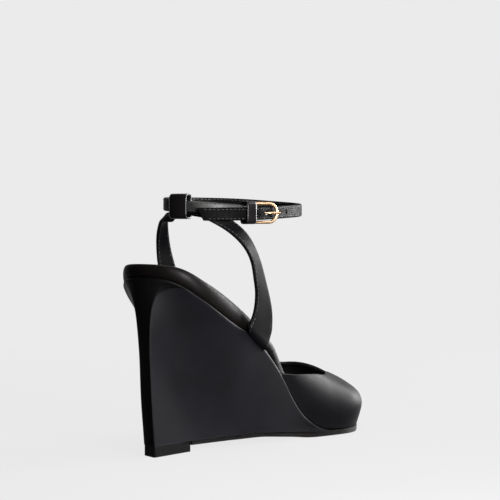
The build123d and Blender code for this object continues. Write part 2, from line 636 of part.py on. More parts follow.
# ---- back loop: holds the sling ends and the ankle strap ----------------------------
with BuildPart() as back_loop:
    ring_strap([168, 172, 176, 180, 184, 188, 192], lambda d: -1.2, lambda d: 128.2,
               lambda d: 13.2, 7.8)
with BuildPart() as loop_tool:
    ring_strap([164, 168, 172, 176, 180, 184, 188, 192, 196], lambda d: -1.2, lambda d: 128.2,
               lambda d: 10.8, 5.6)
with back_loop:
    add(loop_tool.part, mode=Mode.SUBTRACT)

PIECES = [
    ("wedge_core", wedge_core), ("wedge_cover", wedge_cover),
    ("heel_top_piece", heel_top_piece), ("top_piece_pins", top_piece_pins),
    ("outsole", outsole), ("insole_board", insole_board), ("footbed_pad", footbed_pad),
    ("footbed_cover", footbed_cover), ("footbed_sock", footbed_sock), ("shank", shank),
    ("shank_rivets", shank_rivets), ("heel_nails", heel_nails), ("heel_screw", heel_screw),
    ("vamp_outer", vamp_outer), ("vamp_lining", vamp_lining), ("toe_puff", toe_puff),
    ("lateral_sling_strap", lateral_sling_strap),
    ("lateral_sling_lining", lateral_sling_lining),
    ("medial_sling_strap", medial_sling_strap), ("medial_sling_lining", medial_sling_lining),
    ("back_loop", back_loop), ("ankle_strap_billet", ankle_strap_billet),
    ("ankle_strap_chape", ankle_strap_chape), ("buckle_frame", buckle_frame),
    ("buckle_prong", buckle_prong), ("buckle_keeper", buckle_keeper)]
for name, piece in PIECES:
    piece.part.label = name
    export_step(piece.part, "parts/" + name + ".step")
    print(name, len(piece.part.solids()), round(piece.part.volume, 1), piece.part.is_valid)
print("bar", gx(bar[0]), bar[1], "dir", TX, TY, "len", FRAME_L)
print("keeper", gx(kp[0]), kp[1], -kp[3], kp[2])
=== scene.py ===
import math

import bpy
import numpy as np
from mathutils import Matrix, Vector


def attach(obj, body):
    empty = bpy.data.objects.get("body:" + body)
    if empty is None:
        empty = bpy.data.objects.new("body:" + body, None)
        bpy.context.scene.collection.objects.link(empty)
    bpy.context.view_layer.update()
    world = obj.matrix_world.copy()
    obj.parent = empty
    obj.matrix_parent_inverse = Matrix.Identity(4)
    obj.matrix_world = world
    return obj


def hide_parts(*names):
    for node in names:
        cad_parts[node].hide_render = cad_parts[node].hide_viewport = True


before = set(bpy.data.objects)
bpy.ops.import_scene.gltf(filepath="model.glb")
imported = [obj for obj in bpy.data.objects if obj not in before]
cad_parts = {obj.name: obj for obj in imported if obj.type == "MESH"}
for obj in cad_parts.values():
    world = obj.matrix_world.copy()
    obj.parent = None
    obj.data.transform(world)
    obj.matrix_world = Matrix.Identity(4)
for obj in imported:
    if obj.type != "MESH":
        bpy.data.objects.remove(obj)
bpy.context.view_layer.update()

SHIFT = 17.0

# ------------------------------------------------------------------
# tables in millimetres: x from the heel back, y to the inner side, z up
# ------------------------------------------------------------------
LAT = [(0, 0), (1.5, -9), (5, -15.6), (10, -20.5), (18, -25), (27, -27), (40, -27.3),
       (55, -26.2), (70, -25), (85, -24.6), (100, -25.2), (115, -28.2), (130, -32),
       (142, -33.6), (150, -32.6), (158, -28.9), (168, -22.6), (180, -14.8),
       (190, -8.2), (200, -1), (206, 4.5)]
MED = [(0, 0), (1.5, 9.5), (5, 16.4), (10, 21.3), (18, 25.6), (27, 27.4), (40, 26.8),
       (55, 24.2), (70, 21.4), (85, 20), (100, 21), (115, 25.4), (130, 31), (142, 34),
       (150, 34.8), (158, 34), (168, 31), (180, 25.5), (190, 19.5), (200, 11.4),
       (206, 4.5)]
GROOVE = [(0, 92), (1.5, 91.9), (4.6, 90.6), (9.1, 87.6), (18.1, 81.3), (31.1, 73.6),
          (47.8, 65.5), (55.8, 62.4), (64.9, 57.8), (73.4, 52.5), (82.1, 44.6),
          (90.9, 35.3), (98.8, 24), (105.8, 15.2), (112.2, 9.8), (118.7, 5.9),
          (124.8, 4.2), (131.5, 3.6), (140, 3.4), (165, 3.4), (175, 3.8), (190, 5),
          (206, 7.2)]
BED_TOP = [(0, 99), (1.8, 98.8), (6.7, 97.8), (11.3, 95.7), (19, 91), (32.4, 84.2),
           (49.4, 75.4), (59.8, 69.5), (78.8, 56.9), (84.2, 52), (93, 43.8),
           (99.3, 35.6), (106, 28), (113, 21.5), (120, 16.5), (128, 13), (138, 11),
           (150, 10.2), (165, 10), (180, 10.4), (195, 11.5), (206, 12.6)]
BED_LOW = [(x, z) for x, z in GROOVE if x < 92] + [
    (98.8, 25.6), (105.8, 17.6), (112.2, 12.2), (118.7, 8.2), (124.8, 6.4),
    (131.5, 5.8), (140, 5.6), (165, 5.6), (175, 6), (190, 7), (206, 9.2)]
ARCH = [(0, 5.7), (31, 5.7), (47, 6), (63, 6), (76, 6.1), (90, 5.2), (105, 4.1),
        (115, 3.2), (125, 3.0), (165, 3.0), (175, 3.4), (190, 4.6), (206, 6.8)]
LAT_B = [(8, -6.2), (14, -6.6), (22, -7.2), (32, -8.3), (45, -11), (60, -14.6), (75, -18.3),
         (90, -22.1), (105, -24.9), (122, -29.3)]
MED_B = [(8, 3.8), (14, 4.2), (22, 4.6), (32, 5.6), (45, 8), (60, 11.2), (75, 14.6), (90, 18),
         (105, 21.4), (122, 26.8)]
POW = [(11, 5.0), (14, 4.2), (22, 2.7), (32, 1.9), (45, 1.5), (60, 1.25), (75, 1.1), (122, 1.0)]
VAMP_TOP = [(86, 74), (100, 66), (108, 60), (115, 55), (122, 49.2), (130, 43.8), (140, 40.0),
            (150, 38.0), (156, 37.3), (163, 34.9), (171, 30.4), (180, 25.8), (190, 20.6),
            (198, 16.4), (206.5, 12)]
SHAPE = [(-0.965, 0.0), (-1.01, 0.12), (-1.06, 0.26), (-1.08, 0.39), (-1.03, 0.53), (-0.93, 0.62),
         (-0.77, 0.708), (-0.55, 0.802), (-0.3, 0.882), (-0.06, 0.955), (0.25, 1.0),
         (0.6, 0.965), (0.88, 0.81), (1.02, 0.55), (1.05, 0.3), (1.035, 0.12), (1.0, 0.0)]
SHAPE_BACK = [(-0.985, 0.0), (-1.02, 0.12), (-1.055, 0.28), (-1.04, 0.42), (-0.98, 0.55),
              (-0.87, 0.68), (-0.70, 0.79), (-0.48, 0.87), (-0.2, 0.935), (0.03, 0.975),
              (0.27, 1.0), (0.6, 0.965), (0.88, 0.81), (1.02, 0.55), (1.05, 0.3),
              (1.035, 0.12), (1.0, 0.0)]
RING_A, RING_B, RING_X = 46.0, 29.0, 77.0


# ------------------------------------------------------------------
# small maths
# ------------------------------------------------------------------
def pchip(tab, xs):
    x = np.array([a for a, _ in tab], float)
    y = np.array([b for _, b in tab], float)
    h, s = np.diff(x), np.diff(y) / np.diff(x)
    m = np.zeros(len(x))
    m[0], m[-1] = s[0], s[-1]
    for i in range(1, len(x) - 1):
        if s[i - 1] * s[i] > 0:
            w1, w2 = 2 * h[i] + h[i - 1], h[i] + 2 * h[i - 1]
            m[i] = (w1 + w2) / (w1 / s[i - 1] + w2 / s[i])
    xs = np.clip(np.asarray(xs, float), x[0], x[-1])
    i = np.clip(np.searchsorted(x, xs, side="right") - 1, 0, len(x) - 2)
    t = (xs - x[i]) / h[i]
    return ((2 * t**3 - 3 * t**2 + 1) * y[i] + (t**3 - 2 * t**2 + t) * h[i] * m[i]
            + (-2 * t**3 + 3 * t**2) * y[i + 1] + (t**3 - t**2) * h[i] * m[i + 1])


def smooth(tab, sigma=2.5, step=0.25):
    """table made into a smooth function that keeps its ends"""
    a, b = tab[0][0], tab[-1][0]
    n = int(round((b - a) / step)) + 1
    xs = np.linspace(a, b, n)
    ys = pchip(tab, xs)
    k = int(4 * sigma / step)
    left = 2 * ys[0] - ys[1:k + 1][::-1]
    right = 2 * ys[-1] - ys[-k - 1:-1][::-1]
    full = np.concatenate([left, ys, right])
    w = np.exp(-0.5 * (np.arange(-k, k + 1) * step / sigma) ** 2)
    w /= w.sum()
    out = np.convolve(full, w, mode="valid")
    return lambda x: np.interp(x, xs, out)


def spline3(pts, n, closed=False):
    """smooth curve through points, n samples, even in length"""
    p = np.asarray(pts, float)
    if closed:
        p = np.vstack([p, p[:1]])
    d = np.linalg.norm(np.diff(p, axis=0), axis=1)
    t = np.concatenate([[0], np.cumsum(np.sqrt(d * (d + 1e-9)))])
    out = cubic(t, p, np.linspace(0, t[-1], n * 4 + 1), closed)
    seg = np.concatenate([[0], np.cumsum(np.linalg.norm(np.diff(out, axis=0), axis=1))])
    q = np.linspace(0, seg[-1], n + (1 if closed else 0))
    if closed:
        q = q[:-1]
    return np.stack([np.interp(q, seg, out[:, k]) for k in range(out.shape[1])], 1)


def cubic(t, p, q, closed=False):
    """natural or periodic cubic spline values"""
    n = len(t)
    h = np.diff(t)
    A = np.zeros((n, n))
    r = np.zeros((n, p.shape[1]))
    for i in range(1, n - 1):
        A[i, i - 1], A[i, i], A[i, i + 1] = h[i - 1], 2 * (h[i - 1] + h[i]), h[i]
        r[i] = 6 * ((p[i + 1] - p[i]) / h[i] - (p[i] - p[i - 1]) / h[i - 1])
    if closed:
        A[0, 0], A[0, -1] = 1, -1
        A[-1, 0], A[-1, 1], A[-1, -2], A[-1, -1] = 2 * h[0], h[0], h[-1], 2 * h[-1]
        r[-1] = 6 * ((p[1] - p[0]) / h[0] - (p[-1] - p[-2]) / h[-1])
    else:
        A[0, 0] = A[-1, -1] = 1
    m = np.linalg.solve(A, r)
    i = np.clip(np.searchsorted(t, q, side="right") - 1, 0, n - 2)
    a = (t[i + 1] - q)[:, None]
    b = (q - t[i])[:, None]
    hi = h[i][:, None]
    return (m[i] * a**3 / (6 * hi) + m[i + 1] * b**3 / (6 * hi)
            + (p[i] / hi - m[i] * hi / 6) * a + (p[i + 1] / hi - m[i + 1] * hi / 6) * b)


def unit(v):
    return v / np.maximum(np.linalg.norm(v, axis=-1, keepdims=True), 1e-12)


f_groove, f_top, f_low, f_arch = smooth(GROOVE), smooth(BED_TOP), smooth(BED_LOW), smooth(ARCH)
f_latb, f_medb, f_pow = smooth(LAT_B, 5), smooth(MED_B, 5), smooth(POW, 3)
f_lat, f_med = smooth(LAT[4:], 2.0), smooth(MED[4:], 2.0)
f_vtop = smooth(VAMP_TOP, 4.0)


# ------------------------------------------------------------------
# mesh helpers
# ------------------------------------------------------------------
def to_m(p):
    p = np.asarray(p, float).copy()
    p[..., 0] -= SHIFT
    return p / 1000.0


def make_mesh(name, verts, faces, body, mats, smooth_shade=True, mat_index=None):
    me = bpy.data.meshes.new(name)
    me.from_pydata([tuple(v) for v in to_m(verts)], [], faces)
    me.update()
    ob = bpy.data.objects.new(name, me)
    bpy.context.scene.collection.objects.link(ob)
    for m in mats:
        me.materials.append(m)
    if smooth_shade:
        me.polygons.foreach_set("use_smooth", [True] * len(me.polygons))
    if mat_index is not None:
        me.polygons.foreach_set("material_index", mat_index)
    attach(ob, body)
    return ob


def grid_faces(nu, nv, wrap_u=False, wrap_v=False, base=0, flip=False):
    out = []
    for i in range(nu if wrap_u else nu - 1):
        for j in range(nv if wrap_v else nv - 1):
            a = base + i * nv + j
            b = base + ((i + 1) % nu) * nv + j
            c = base + ((i + 1) % nu) * nv + (j + 1) % nv
            d = base + i * nv + (j + 1) % nv
            out.append((a, d, c, b) if flip else (a, b, c, d))
    return out


# ------------------------------------------------------------------
# materials: all procedural, in object space
# ------------------------------------------------------------------
def nodes_of(name):
    m = bpy.data.materials.new(name)
    m.use_nodes = True
    nt = m.node_tree
    nt.nodes.clear()
    out = nt.nodes.new("ShaderNodeOutputMaterial")
    bsdf = nt.nodes.new("ShaderNodeBsdfPrincipled")
    nt.links.new(bsdf.outputs[0], out.inputs[0])
    co = nt.nodes.new("ShaderNodeTexCoord")
    return m, nt, bsdf, co


def tex_noise(nt, co, scale, detail=4.0, rough=0.55):
    n = nt.nodes.new("ShaderNodeTexNoise")
    n.inputs["Scale"].default_value = scale
    n.inputs["Detail"].default_value = detail
    n.inputs["Roughness"].default_value = rough
    nt.links.new(co.outputs["Object"], n.inputs["Vector"])
    return n


def ramp(nt, src, stops):
    r = nt.nodes.new("ShaderNodeValToRGB")
    el = r.color_ramp.elements
    while len(el) < len(stops):
        el.new(0.5)
    for e, (p, c) in zip(el, stops):
        e.position = p
        e.color = (c, c, c, 1) if isinstance(c, (int, float)) else (*c, 1)
    nt.links.new(src, r.inputs[0])
    return r


def bump(nt, height, strength, dist, normal=None):
    b = nt.nodes.new("ShaderNodeBump")
    b.inputs["Strength"].default_value = strength
    b.inputs["Distance"].default_value = dist
    nt.links.new(height, b.inputs["Height"])
    if normal is not None:
        nt.links.new(normal, b.inputs["Normal"])
    return b


def leather(name, dark, light, rough=(0.40, 0.52), spec=0.35, coat=0.12, coat_rough=0.3,
            grain=1300.0, grain_strength=0.12, wrinkle=0.05):
    m, nt, bsdf, co = nodes_of(name)
    broad = tex_noise(nt, co, 38.0, 3.0)
    col = ramp(nt, broad.outputs[0], [(0.32, dark), (0.7, light)])
    nt.links.new(col.outputs[0], bsdf.inputs["Base Color"])
    mid = tex_noise(nt, co, 240.0, 5.0)
    rr = ramp(nt, mid.outputs[0], [(0.3, rough[0]), (0.72, rough[1])])
    nt.links.new(rr.outputs[0], bsdf.inputs["Roughness"])
    v = nt.nodes.new("ShaderNodeTexVoronoi")
    v.feature = "DISTANCE_TO_EDGE"
    v.inputs["Scale"].default_value = grain
    nt.links.new(co.outputs["Object"], v.inputs["Vector"])
    vr = ramp(nt, v.outputs["Distance"], [(0.0, 0.0), (0.28, 1.0)])
    fine = tex_noise(nt, co, grain * 3.2, 3.0)
    b1 = bump(nt, vr.outputs[0], grain_strength, 0.00006)
    b2 = bump(nt, fine.outputs[0], grain_strength * 0.7, 0.00004, b1.outputs[0])
    b3 = bump(nt, mid.outputs[0], wrinkle, 0.0005, b2.outputs[0])
    nt.links.new(b3.outputs[0], bsdf.inputs["Normal"])
    bsdf.inputs["Specular IOR Level"].default_value = spec
    bsdf.inputs["Coat Weight"].default_value = coat
    bsdf.inputs["Coat Roughness"].default_value = coat_rough
    return m


def metal(name, color, rough=(0.12, 0.24)):
    m, nt, bsdf, co = nodes_of(name)
    n = tex_noise(nt, co, 700.0, 4.0)
    rr = ramp(nt, n.outputs[0], [(0.3, rough[0]), (0.75, rough[1])])
    nt.links.new(rr.outputs[0], bsdf.inputs["Roughness"])
    c = ramp(nt, n.outputs[0], [(0.2, tuple(0.88 * v for v in color)), (0.8, color)])
    nt.links.new(c.outputs[0], bsdf.inputs["Base Color"])
    bsdf.inputs["Metallic"].default_value = 1.0
    b = bump(nt, n.outputs[0], 0.05, 0.00005)
    nt.links.new(b.outputs[0], bsdf.inputs["Normal"])
    return m


def thread_mat(name, color):
    m, nt, bsdf, co = nodes_of(name)
    w = nt.nodes.new("ShaderNodeTexWave")
    w.inputs["Scale"].default_value = 1500.0
    w.inputs["Distortion"].default_value = 2.0
    nt.links.new(co.outputs["Object"], w.inputs["Vector"])
    c = ramp(nt, w.outputs[1], [(0.1, tuple(0.5 * v for v in color)), (0.9, color)])
    nt.links.new(c.outputs[0], bsdf.inputs["Base Color"])
    bsdf.inputs["Roughness"].default_value = 0.55
    b = bump(nt, w.outputs[1], 0.4, 0.00008)
    nt.links.new(b.outputs[0], bsdf.inputs["Normal"])
    return m


def sole_mat(name):
    m, nt, bsdf, co = nodes_of(name)
    n = tex_noise(nt, co, 160.0, 6.0)
    c = ramp(nt, n.outputs[0], [(0.25, (0.075, 0.04, 0.022)), (0.75, (0.16, 0.088, 0.05))])
    geo = nt.nodes.new("ShaderNodeNewGeometry")
    sep = nt.nodes.new("ShaderNodeSeparateXYZ")
    nt.links.new(geo.outputs["Normal"], sep.inputs[0])
    side = nt.nodes.new("ShaderNodeMapRange")
    side.inputs["From Min"].default_value = -0.9
    side.inputs["From Max"].default_value = -0.6
    nt.links.new(sep.outputs[2], side.inputs["Value"])
    ink = ramp(nt, n.outputs[0], [(0.2, (0.002, 0.0017, 0.0016)), (0.8, (0.0055, 0.0042, 0.0038))])
    mx = nt.nodes.new("ShaderNodeMixRGB")
    nt.links.new(side.outputs[0], mx.inputs[0])
    nt.links.new(c.outputs[0], mx.inputs[1])
    nt.links.new(ink.outputs[0], mx.inputs[2])
    nt.links.new(mx.outputs[0], bsdf.inputs["Base Color"])
    rr = ramp(nt, n.outputs[0], [(0.3, 0.42), (0.7, 0.6)])
    nt.links.new(rr.outputs[0], bsdf.inputs["Roughness"])
    bsdf.inputs["Specular IOR Level"].default_value = 0.12
    fine = tex_noise(nt, co, 1800.0, 4.0)
    b = bump(nt, fine.outputs[0], 0.2, 0.0001)
    nt.links.new(b.outputs[0], bsdf.inputs["Normal"])
    return m


def rubber_mat(name):
    m, nt, bsdf, co = nodes_of(name)
    n = tex_noise(nt, co, 900.0, 5.0)
    c = ramp(nt, n.outputs[0], [(0.2, (0.0016, 0.0016, 0.0018)), (0.8, (0.004, 0.004, 0.0044))])
    nt.links.new(c.outputs[0], bsdf.inputs["Base Color"])
    rr = ramp(nt, n.outputs[0], [(0.3, 0.35), (0.7, 0.5)])
    nt.links.new(rr.outputs[0], bsdf.inputs["Roughness"])
    b = bump(nt, n.outputs[0], 0.12, 0.0001)
    nt.links.new(b.outputs[0], bsdf.inputs["Normal"])
    bsdf.inputs["Specular IOR Level"].default_value = 0.06
    return m


M_BODY = leather("wedge_leather", (0.005, 0.005, 0.0062), (0.0074, 0.0074, 0.0092), rough=(0.46, 0.56),
                 spec=0.07, coat=0.01, coat_rough=0.35, wrinkle=0.02)
# painted shade: a darker copy of the wedge leather for the heel's back face, so that face reads darker
# than the side panel
M_BACK_PAINTED_SHADE = leather("heel_back_painted_shade", (0.0018, 0.0018, 0.0019), (0.0034, 0.0034, 0.0037),
                 rough=(0.40, 0.5), spec=0.09, coat=0.03, coat_rough=0.3, wrinkle=0.02)
# vamp: the same black leather with a darker base colour, painted shade for the vamp's dim middle
M_VAMP_PAINTED_SHADE = leather("vamp_leather_painted_shade", (0.002, 0.002, 0.0027), (0.0034, 0.0034, 0.0044), rough=(0.5, 0.6),
                 spec=0.08, coat=0.0, coat_rough=0.3, wrinkle=0.02)
M_BED = leather("footbed_leather", (0.0024, 0.0019, 0.0018), (0.0044, 0.0034, 0.0032),
                rough=(0.42, 0.54), spec=0.06, coat=0.025, coat_rough=0.24, grain=1700, wrinkle=0.008)
M_STRAP = leather("strap_leather", (0.0008, 0.0008, 0.001), (0.0024, 0.0024, 0.0028),
                  rough=(0.42, 0.58), spec=0.03, coat=0.0, grain=900, grain_strength=0.9)
M_LOOP = leather("loop_leather", (0.0042, 0.0036, 0.0036), (0.0078, 0.0066, 0.0066),
                 rough=(0.24, 0.36), spec=0.18, coat=0.12, coat_rough=0.2, grain=1100,
                 grain_strength=0.3)
M_ARM = leather("sling_leather", (0.0018, 0.0018, 0.0022), (0.0032, 0.0032, 0.0039),
                rough=(0.42, 0.54), spec=0.06, coat=0.02, grain=1300, grain_strength=0.2)
M_SOCK = leather("sock_leather", (0.0026, 0.0024, 0.0024), (0.0048, 0.0044, 0.0044),
                 rough=(0.5, 0.62), spec=0.15, coat=0.0, grain=1500, grain_strength=0.2,
                 wrinkle=0.01)
M_CHAPE = leather("chape_leather", (0.003, 0.003, 0.003), (0.035, 0.035, 0.033),
                  rough=(0.35, 0.6), grain=900, grain_strength=0.8)
M_LINING = leather("lining_leather", (0.003, 0.003, 0.003), (0.006, 0.006, 0.006),
                   rough=(0.6, 0.8), spec=0.15, coat=0.0)
M_THREAD = thread_mat("black_thread", (0.03, 0.03, 0.032))
M_GOLD = metal("gold_metal", (0.74, 0.48, 0.28), (0.34, 0.46))
M_STEEL = metal("steel", (0.55, 0.55, 0.56), (0.25, 0.4))
M_SOLE = sole_mat("sole_leather")
M_LIFT = rubber_mat("top_piece_rubber")


def paint(node, mat):
    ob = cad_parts[node]
    ob.data.materials.clear()
    ob.data.materials.append(mat)
    return ob


for n_, m_ in (("outsole", M_SOLE), ("heel_top_piece", M_LIFT), ("buckle_frame", M_GOLD),
               ("buckle_prong", M_GOLD), ("top_piece_pins", M_STEEL),
               ("shank", M_STEEL), ("shank_rivets", M_STEEL), ("heel_nails", M_STEEL),
               ("heel_screw", M_STEEL), ("wedge_core", M_LINING), ("insole_board", M_SOLE),
               ("toe_puff", M_LINING)):
    paint(n_, m_)

# ------------------------------------------------------------------
# plan outline as one closed curve, from the front outer side round the heel
# ------------------------------------------------------------------
pts = [(x, y) for x, y in reversed(LAT)] + [(x, y) for x, y in MED[1:-1]]
OUT = spline3(pts, 900, closed=True)          # starts at the toe, runs along the outer side
tan = unit(np.roll(OUT, -1, 0) - np.roll(OUT, 1, 0))
NRM = np.stack([-tan[:, 1], tan[:, 0]], 1)     # to be pointed outwards
if np.sum(NRM[:, 0] * (OUT[:, 0] - 100) + NRM[:, 1] * OUT[:, 1]) < 0:
    NRM = -NRM
i_heel = int(np.argmin(OUT[:, 0]))


def outline_lat(x):
    seg = OUT[:i_heel + 1]
    return np.interp(x, seg[::-1, 0], seg[::-1, 1])


def outline_med(x):
    seg = OUT[i_heel:]
    return np.interp(x, seg[:, 0], seg[:, 1])


# ------------------------------------------------------------------
# wedge skin
# ------------------------------------------------------------------
K_L = np.array([(3.4, -5.6, 5.7), (2.5, -5.5, 15), (1.7, -5.4, 25), (0.9, -5.3, 38),
                (0.3, -5.2, 50), (0.0, -5.25, 60), (-0.1, -5.4, 67), (0.1, -5.9, 74),
                (0.9, -6.8, 79.5), (2.3, -8.1, 83.2), (4.2, -10.2, 85.5), (6.6, -13.6, 86.6),
                (9.0, -17.6, 86.8), (11.0, -21.2, 86.2)])
K_M = np.array([(5.8, 3.4, 5.7), (4.9, 3.5, 15), (4.0, 3.7, 25), (3.2, 3.8, 38),
                (2.7, 3.9, 50), (2.3, 4.4, 60), (2.2, 5.1, 67), (2.5, 6.4, 74),
                (3.2, 8.6, 79.5), (4.3, 11.2, 83.0), (5.9, 14.2, 85.2), (7.8, 17.4, 86.3),
                (9.8, 20.4, 86.5), (11.5, 22.6, 86.0)])
VR = np.concatenate([np.linspace(0, 0.004, 3), np.linspace(0.012, 0.93, 58),
                     1 - np.array([0.06, 0.05, 0.04, 0.032, 0.025, 0.019, 0.014, 0.010,
                                   0.007, 0.0045, 0.0025, 0.001, 0.0])])
NV = len(VR)


def k_curve(K):
    """corner curve sampled at the row positions: by height low down, by length at the flare"""
    fine = spline3(K, 600)
    seg = np.concatenate([[0], np.cumsum(np.linalg.norm(np.diff(fine, axis=0), axis=1))])
    z = np.maximum.accumulate(fine[:, 2])
    i0 = int(np.argmax(z > 70.0))
    v0 = 0.80
    out = []
    for v in VR:
        if v < v0:
            zz = 5.7 + (z[i0] - 5.7) * v / v0
            i = int(np.searchsorted(z[:i0 + 1], zz))
            i = min(max(i, 1), i0)
            t = (zz - z[i - 1]) / max(z[i] - z[i - 1], 1e-9)
            out.append(fine[i - 1] * (1 - t) + fine[i] * t)
        else:
            s = seg[i0] + (seg[-1] - seg[i0]) * (v - v0) / (1 - v0)
            out.append(np.array([np.interp(s, seg, fine[:, k]) for k in range(3)]))
    return np.array(out)


KL, KM = k_curve(K_L), k_curve(K_M)


def side_rows(side, xs):
    """points [x][row] of a side panel at fixed stations"""
    fb = f_latb if side == "lat" else f_medb
    fo = outline_lat if side == "lat" else outline_med
    out = np.zeros((len(xs), NV, 3))
    for i, x in enumerate(xs):
        zb, zt = float(f_arch(x)), float(f_groove(x))
        z = zb + (zt - zb) * VR
        t = np.clip((z - 5.7) / max(zt - 5.7, 0.5), 0, 1)
        g = t ** float(f_pow(x))
        y = float(fb(x)) * (1 - g) + float(fo(x)) * g
        out[i] = np.stack([np.full(NV, x), y, z], 1)
    return out


def panel(side):
    """side panel from the corner curve to the front end, columns evenly spread"""
    K = KL if side == "lat" else KM
    st = np.array([15.5, 20, 26, 33, 41, 50, 60, 70, 80, 90, 98, 106, 114, 121, 128.0])
    S = side_rows(side, st)
    ctrl = np.concatenate([K[None], S], 0)
    n = 130
    out = np.zeros((n, NV, 3))
    t = np.concatenate([[0], np.cumsum(np.diff(np.concatenate([[4.0], st])))])
    q = np.concatenate([[0, 0.45, 1.0], np.linspace(1.7, t[-1], n - 3)])
    for j in range(NV):
        out[:, j] = cubic(t, ctrl[:, j], q)
    return out


def back_face():
    n = 46
    c = np.concatenate([[-1, -0.955], np.linspace(-0.9, 0.9, n - 4), [0.955, 1]])
    n = len(c)
    # top points on the outline between the two corner tops
    ia = int(np.argmin(np.hypot(OUT[:, 0] - KL[-1, 0], OUT[:, 1] - KL[-1, 1])))
    ib = int(np.argmin(np.hypot(OUT[:, 0] - KM[-1, 0], OUT[:, 1] - KM[-1, 1])))
    seg = OUT[ia:ib + 1]
    s = np.linspace(0, 1, len(seg))
    top = np.stack([np.interp((c + 1) / 2, s, seg[:, 0]), np.interp((c + 1) / 2, s, seg[:, 1])], 1)
    zl = np.array([5.7, 25, 50, 65, 74, 80, 84, 92])
    kl = np.array([(3.4, -5.6), (1.7, -5.4), (0.3, -5.2), (0.0, -5.3), (0.2, -6.1), (0.7, -7.2),
                   (1.2, -8.6), (1.6, -9.5)])
    km = np.array([(5.8, 3.4), (4.0, 3.7), (2.7, 3.9), (2.2, 4.9), (2.4, 6.4), (2.8, 8.3),
                   (3.2, 9.6), (3.2, 10.6)])
    out = np.zeros((n, NV, 3))
    for i, ci in enumerate(c):
        zt = float(f_groove(top[i, 0]))
        z = 5.7 + (zt - 5.7) * VR
        a = np.stack([np.interp(z, zl, kl[:, 0]), np.interp(z, zl, kl[:, 1])], 1)
        b = np.stack([np.interp(z, zl, km[:, 0]), np.interp(z, zl, km[:, 1])], 1)
        w = (ci + 1) / 2
        base = a * (1 - w) + b * w
        base[:, 0] -= 0.35 * (1 - ci * ci)
        k = np.clip((z - 5.7) / (zt - 5.7), 0, 1) ** 11
        xy = base * (1 - k[:, None]) + top[i] * k[:, None]
        out[i] = np.concatenate([xy, z[:, None]], 1)
    # pull the edges onto the corner curves
    el, er = KL - out[0], KM - out[-1]
    for i, ci in enumerate(c):
        wl = max(0.0, -ci) ** 2.2
        wr = max(0.0, ci) ** 2.2
        out[i] += el * wl + er * wr
    return out


lat_p, med_p, back_p = panel("lat"), panel("med"), back_face()
shell = np.concatenate([lat_p[::-1], back_p[1:-1], med_p], 0)
# smooth the whole skin along the height a little
for _ in range(2):
    sm = shell.copy()
    sm[:, 1:-1] = 0.25 * shell[:, :-2] + 0.5 * shell[:, 1:-1] + 0.25 * shell[:, 2:]
    keep = np.ones((shell.shape[0], 1, 1))
    shell = sm * keep
# soft roll into the joint line at the top, and round the corner edges
nu = shell.shape[0]
cen = np.array([60.0, 0.0])
ring_t = unit(np.gradient(shell[:, :, :2], axis=0))
inward = np.stack([-ring_t[..., 1], ring_t[..., 0]], -1)
chk = np.sum(inward * (np.array([80.0, 0.0]) - shell[:, :, :2]), -1).mean()
if chk < 0:
    inward = -inward
R = 2.6
for i in range(nu):
    arc = np.concatenate([[0], np.cumsum(np.linalg.norm(np.diff(shell[i], axis=0), axis=1))])
    d = arc[-1] - arc
    h = arc[-1]
    r = min(R, 0.45 * h)
    k = np.clip(1 - d / r, 0, 1)
    ins = 1.5 * (1 - np.sqrt(np.maximum(0, 1 - k * k * 0.98)))
    shell[i, :, :2] += inward[i] * ins[:, None]
i_kl, i_km = len(lat_p) - 1, len(lat_p) - 1 + len(back_p) - 1
for ik in (i_kl, i_km):
    mid = 0.5 * (shell[ik - 1] + shell[ik + 1])
    shell[ik] = shell[ik] * 0.7 + mid * 0.3
verts = shell.reshape(-1, 3)
faces = grid_faces(nu, NV)
nb = len(verts)
# underside and upper side closed by strips between mirrored columns
extra, f2 = [], []
for row, up in ((0, False), (NV - 1, True)):
    half = nu // 2
    prev = None
    for i in range(half):
        a, b = i * NV + row, (nu - 1 - i) * NV + row
        if prev is not None:
            f2.append((prev[0], prev[1], b, a) if up else (prev[0], a, b, prev[1]))
        prev = (a, b)
    f2.append(tuple([0 * NV + row, 0 * NV + row + 1, (nu - 1) * NV + row + 1, (nu - 1) * NV + row])
              if not up else (0 * NV + row, (nu - 1) * NV + row, (nu - 1) * NV + row - 1, row - 1))
wedge = make_mesh("wedge_skin", verts, faces + f2[:0] + [f for f in f2 if len(set(f)) == 4],
                  "shoe", [M_BODY, M_BACK_PAINTED_SHADE],
                  # faces between the two corner curves take index 1, the painted-shade copy of the leather
                  mat_index=[1 if i_kl <= k // (NV - 1) < i_km and k < (nu - 1) * (NV - 1) else 0
                             for k in range(len(faces) + len([f for f in f2 if len(set(f)) == 4]))])
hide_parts("wedge_cover", "wedge_core")

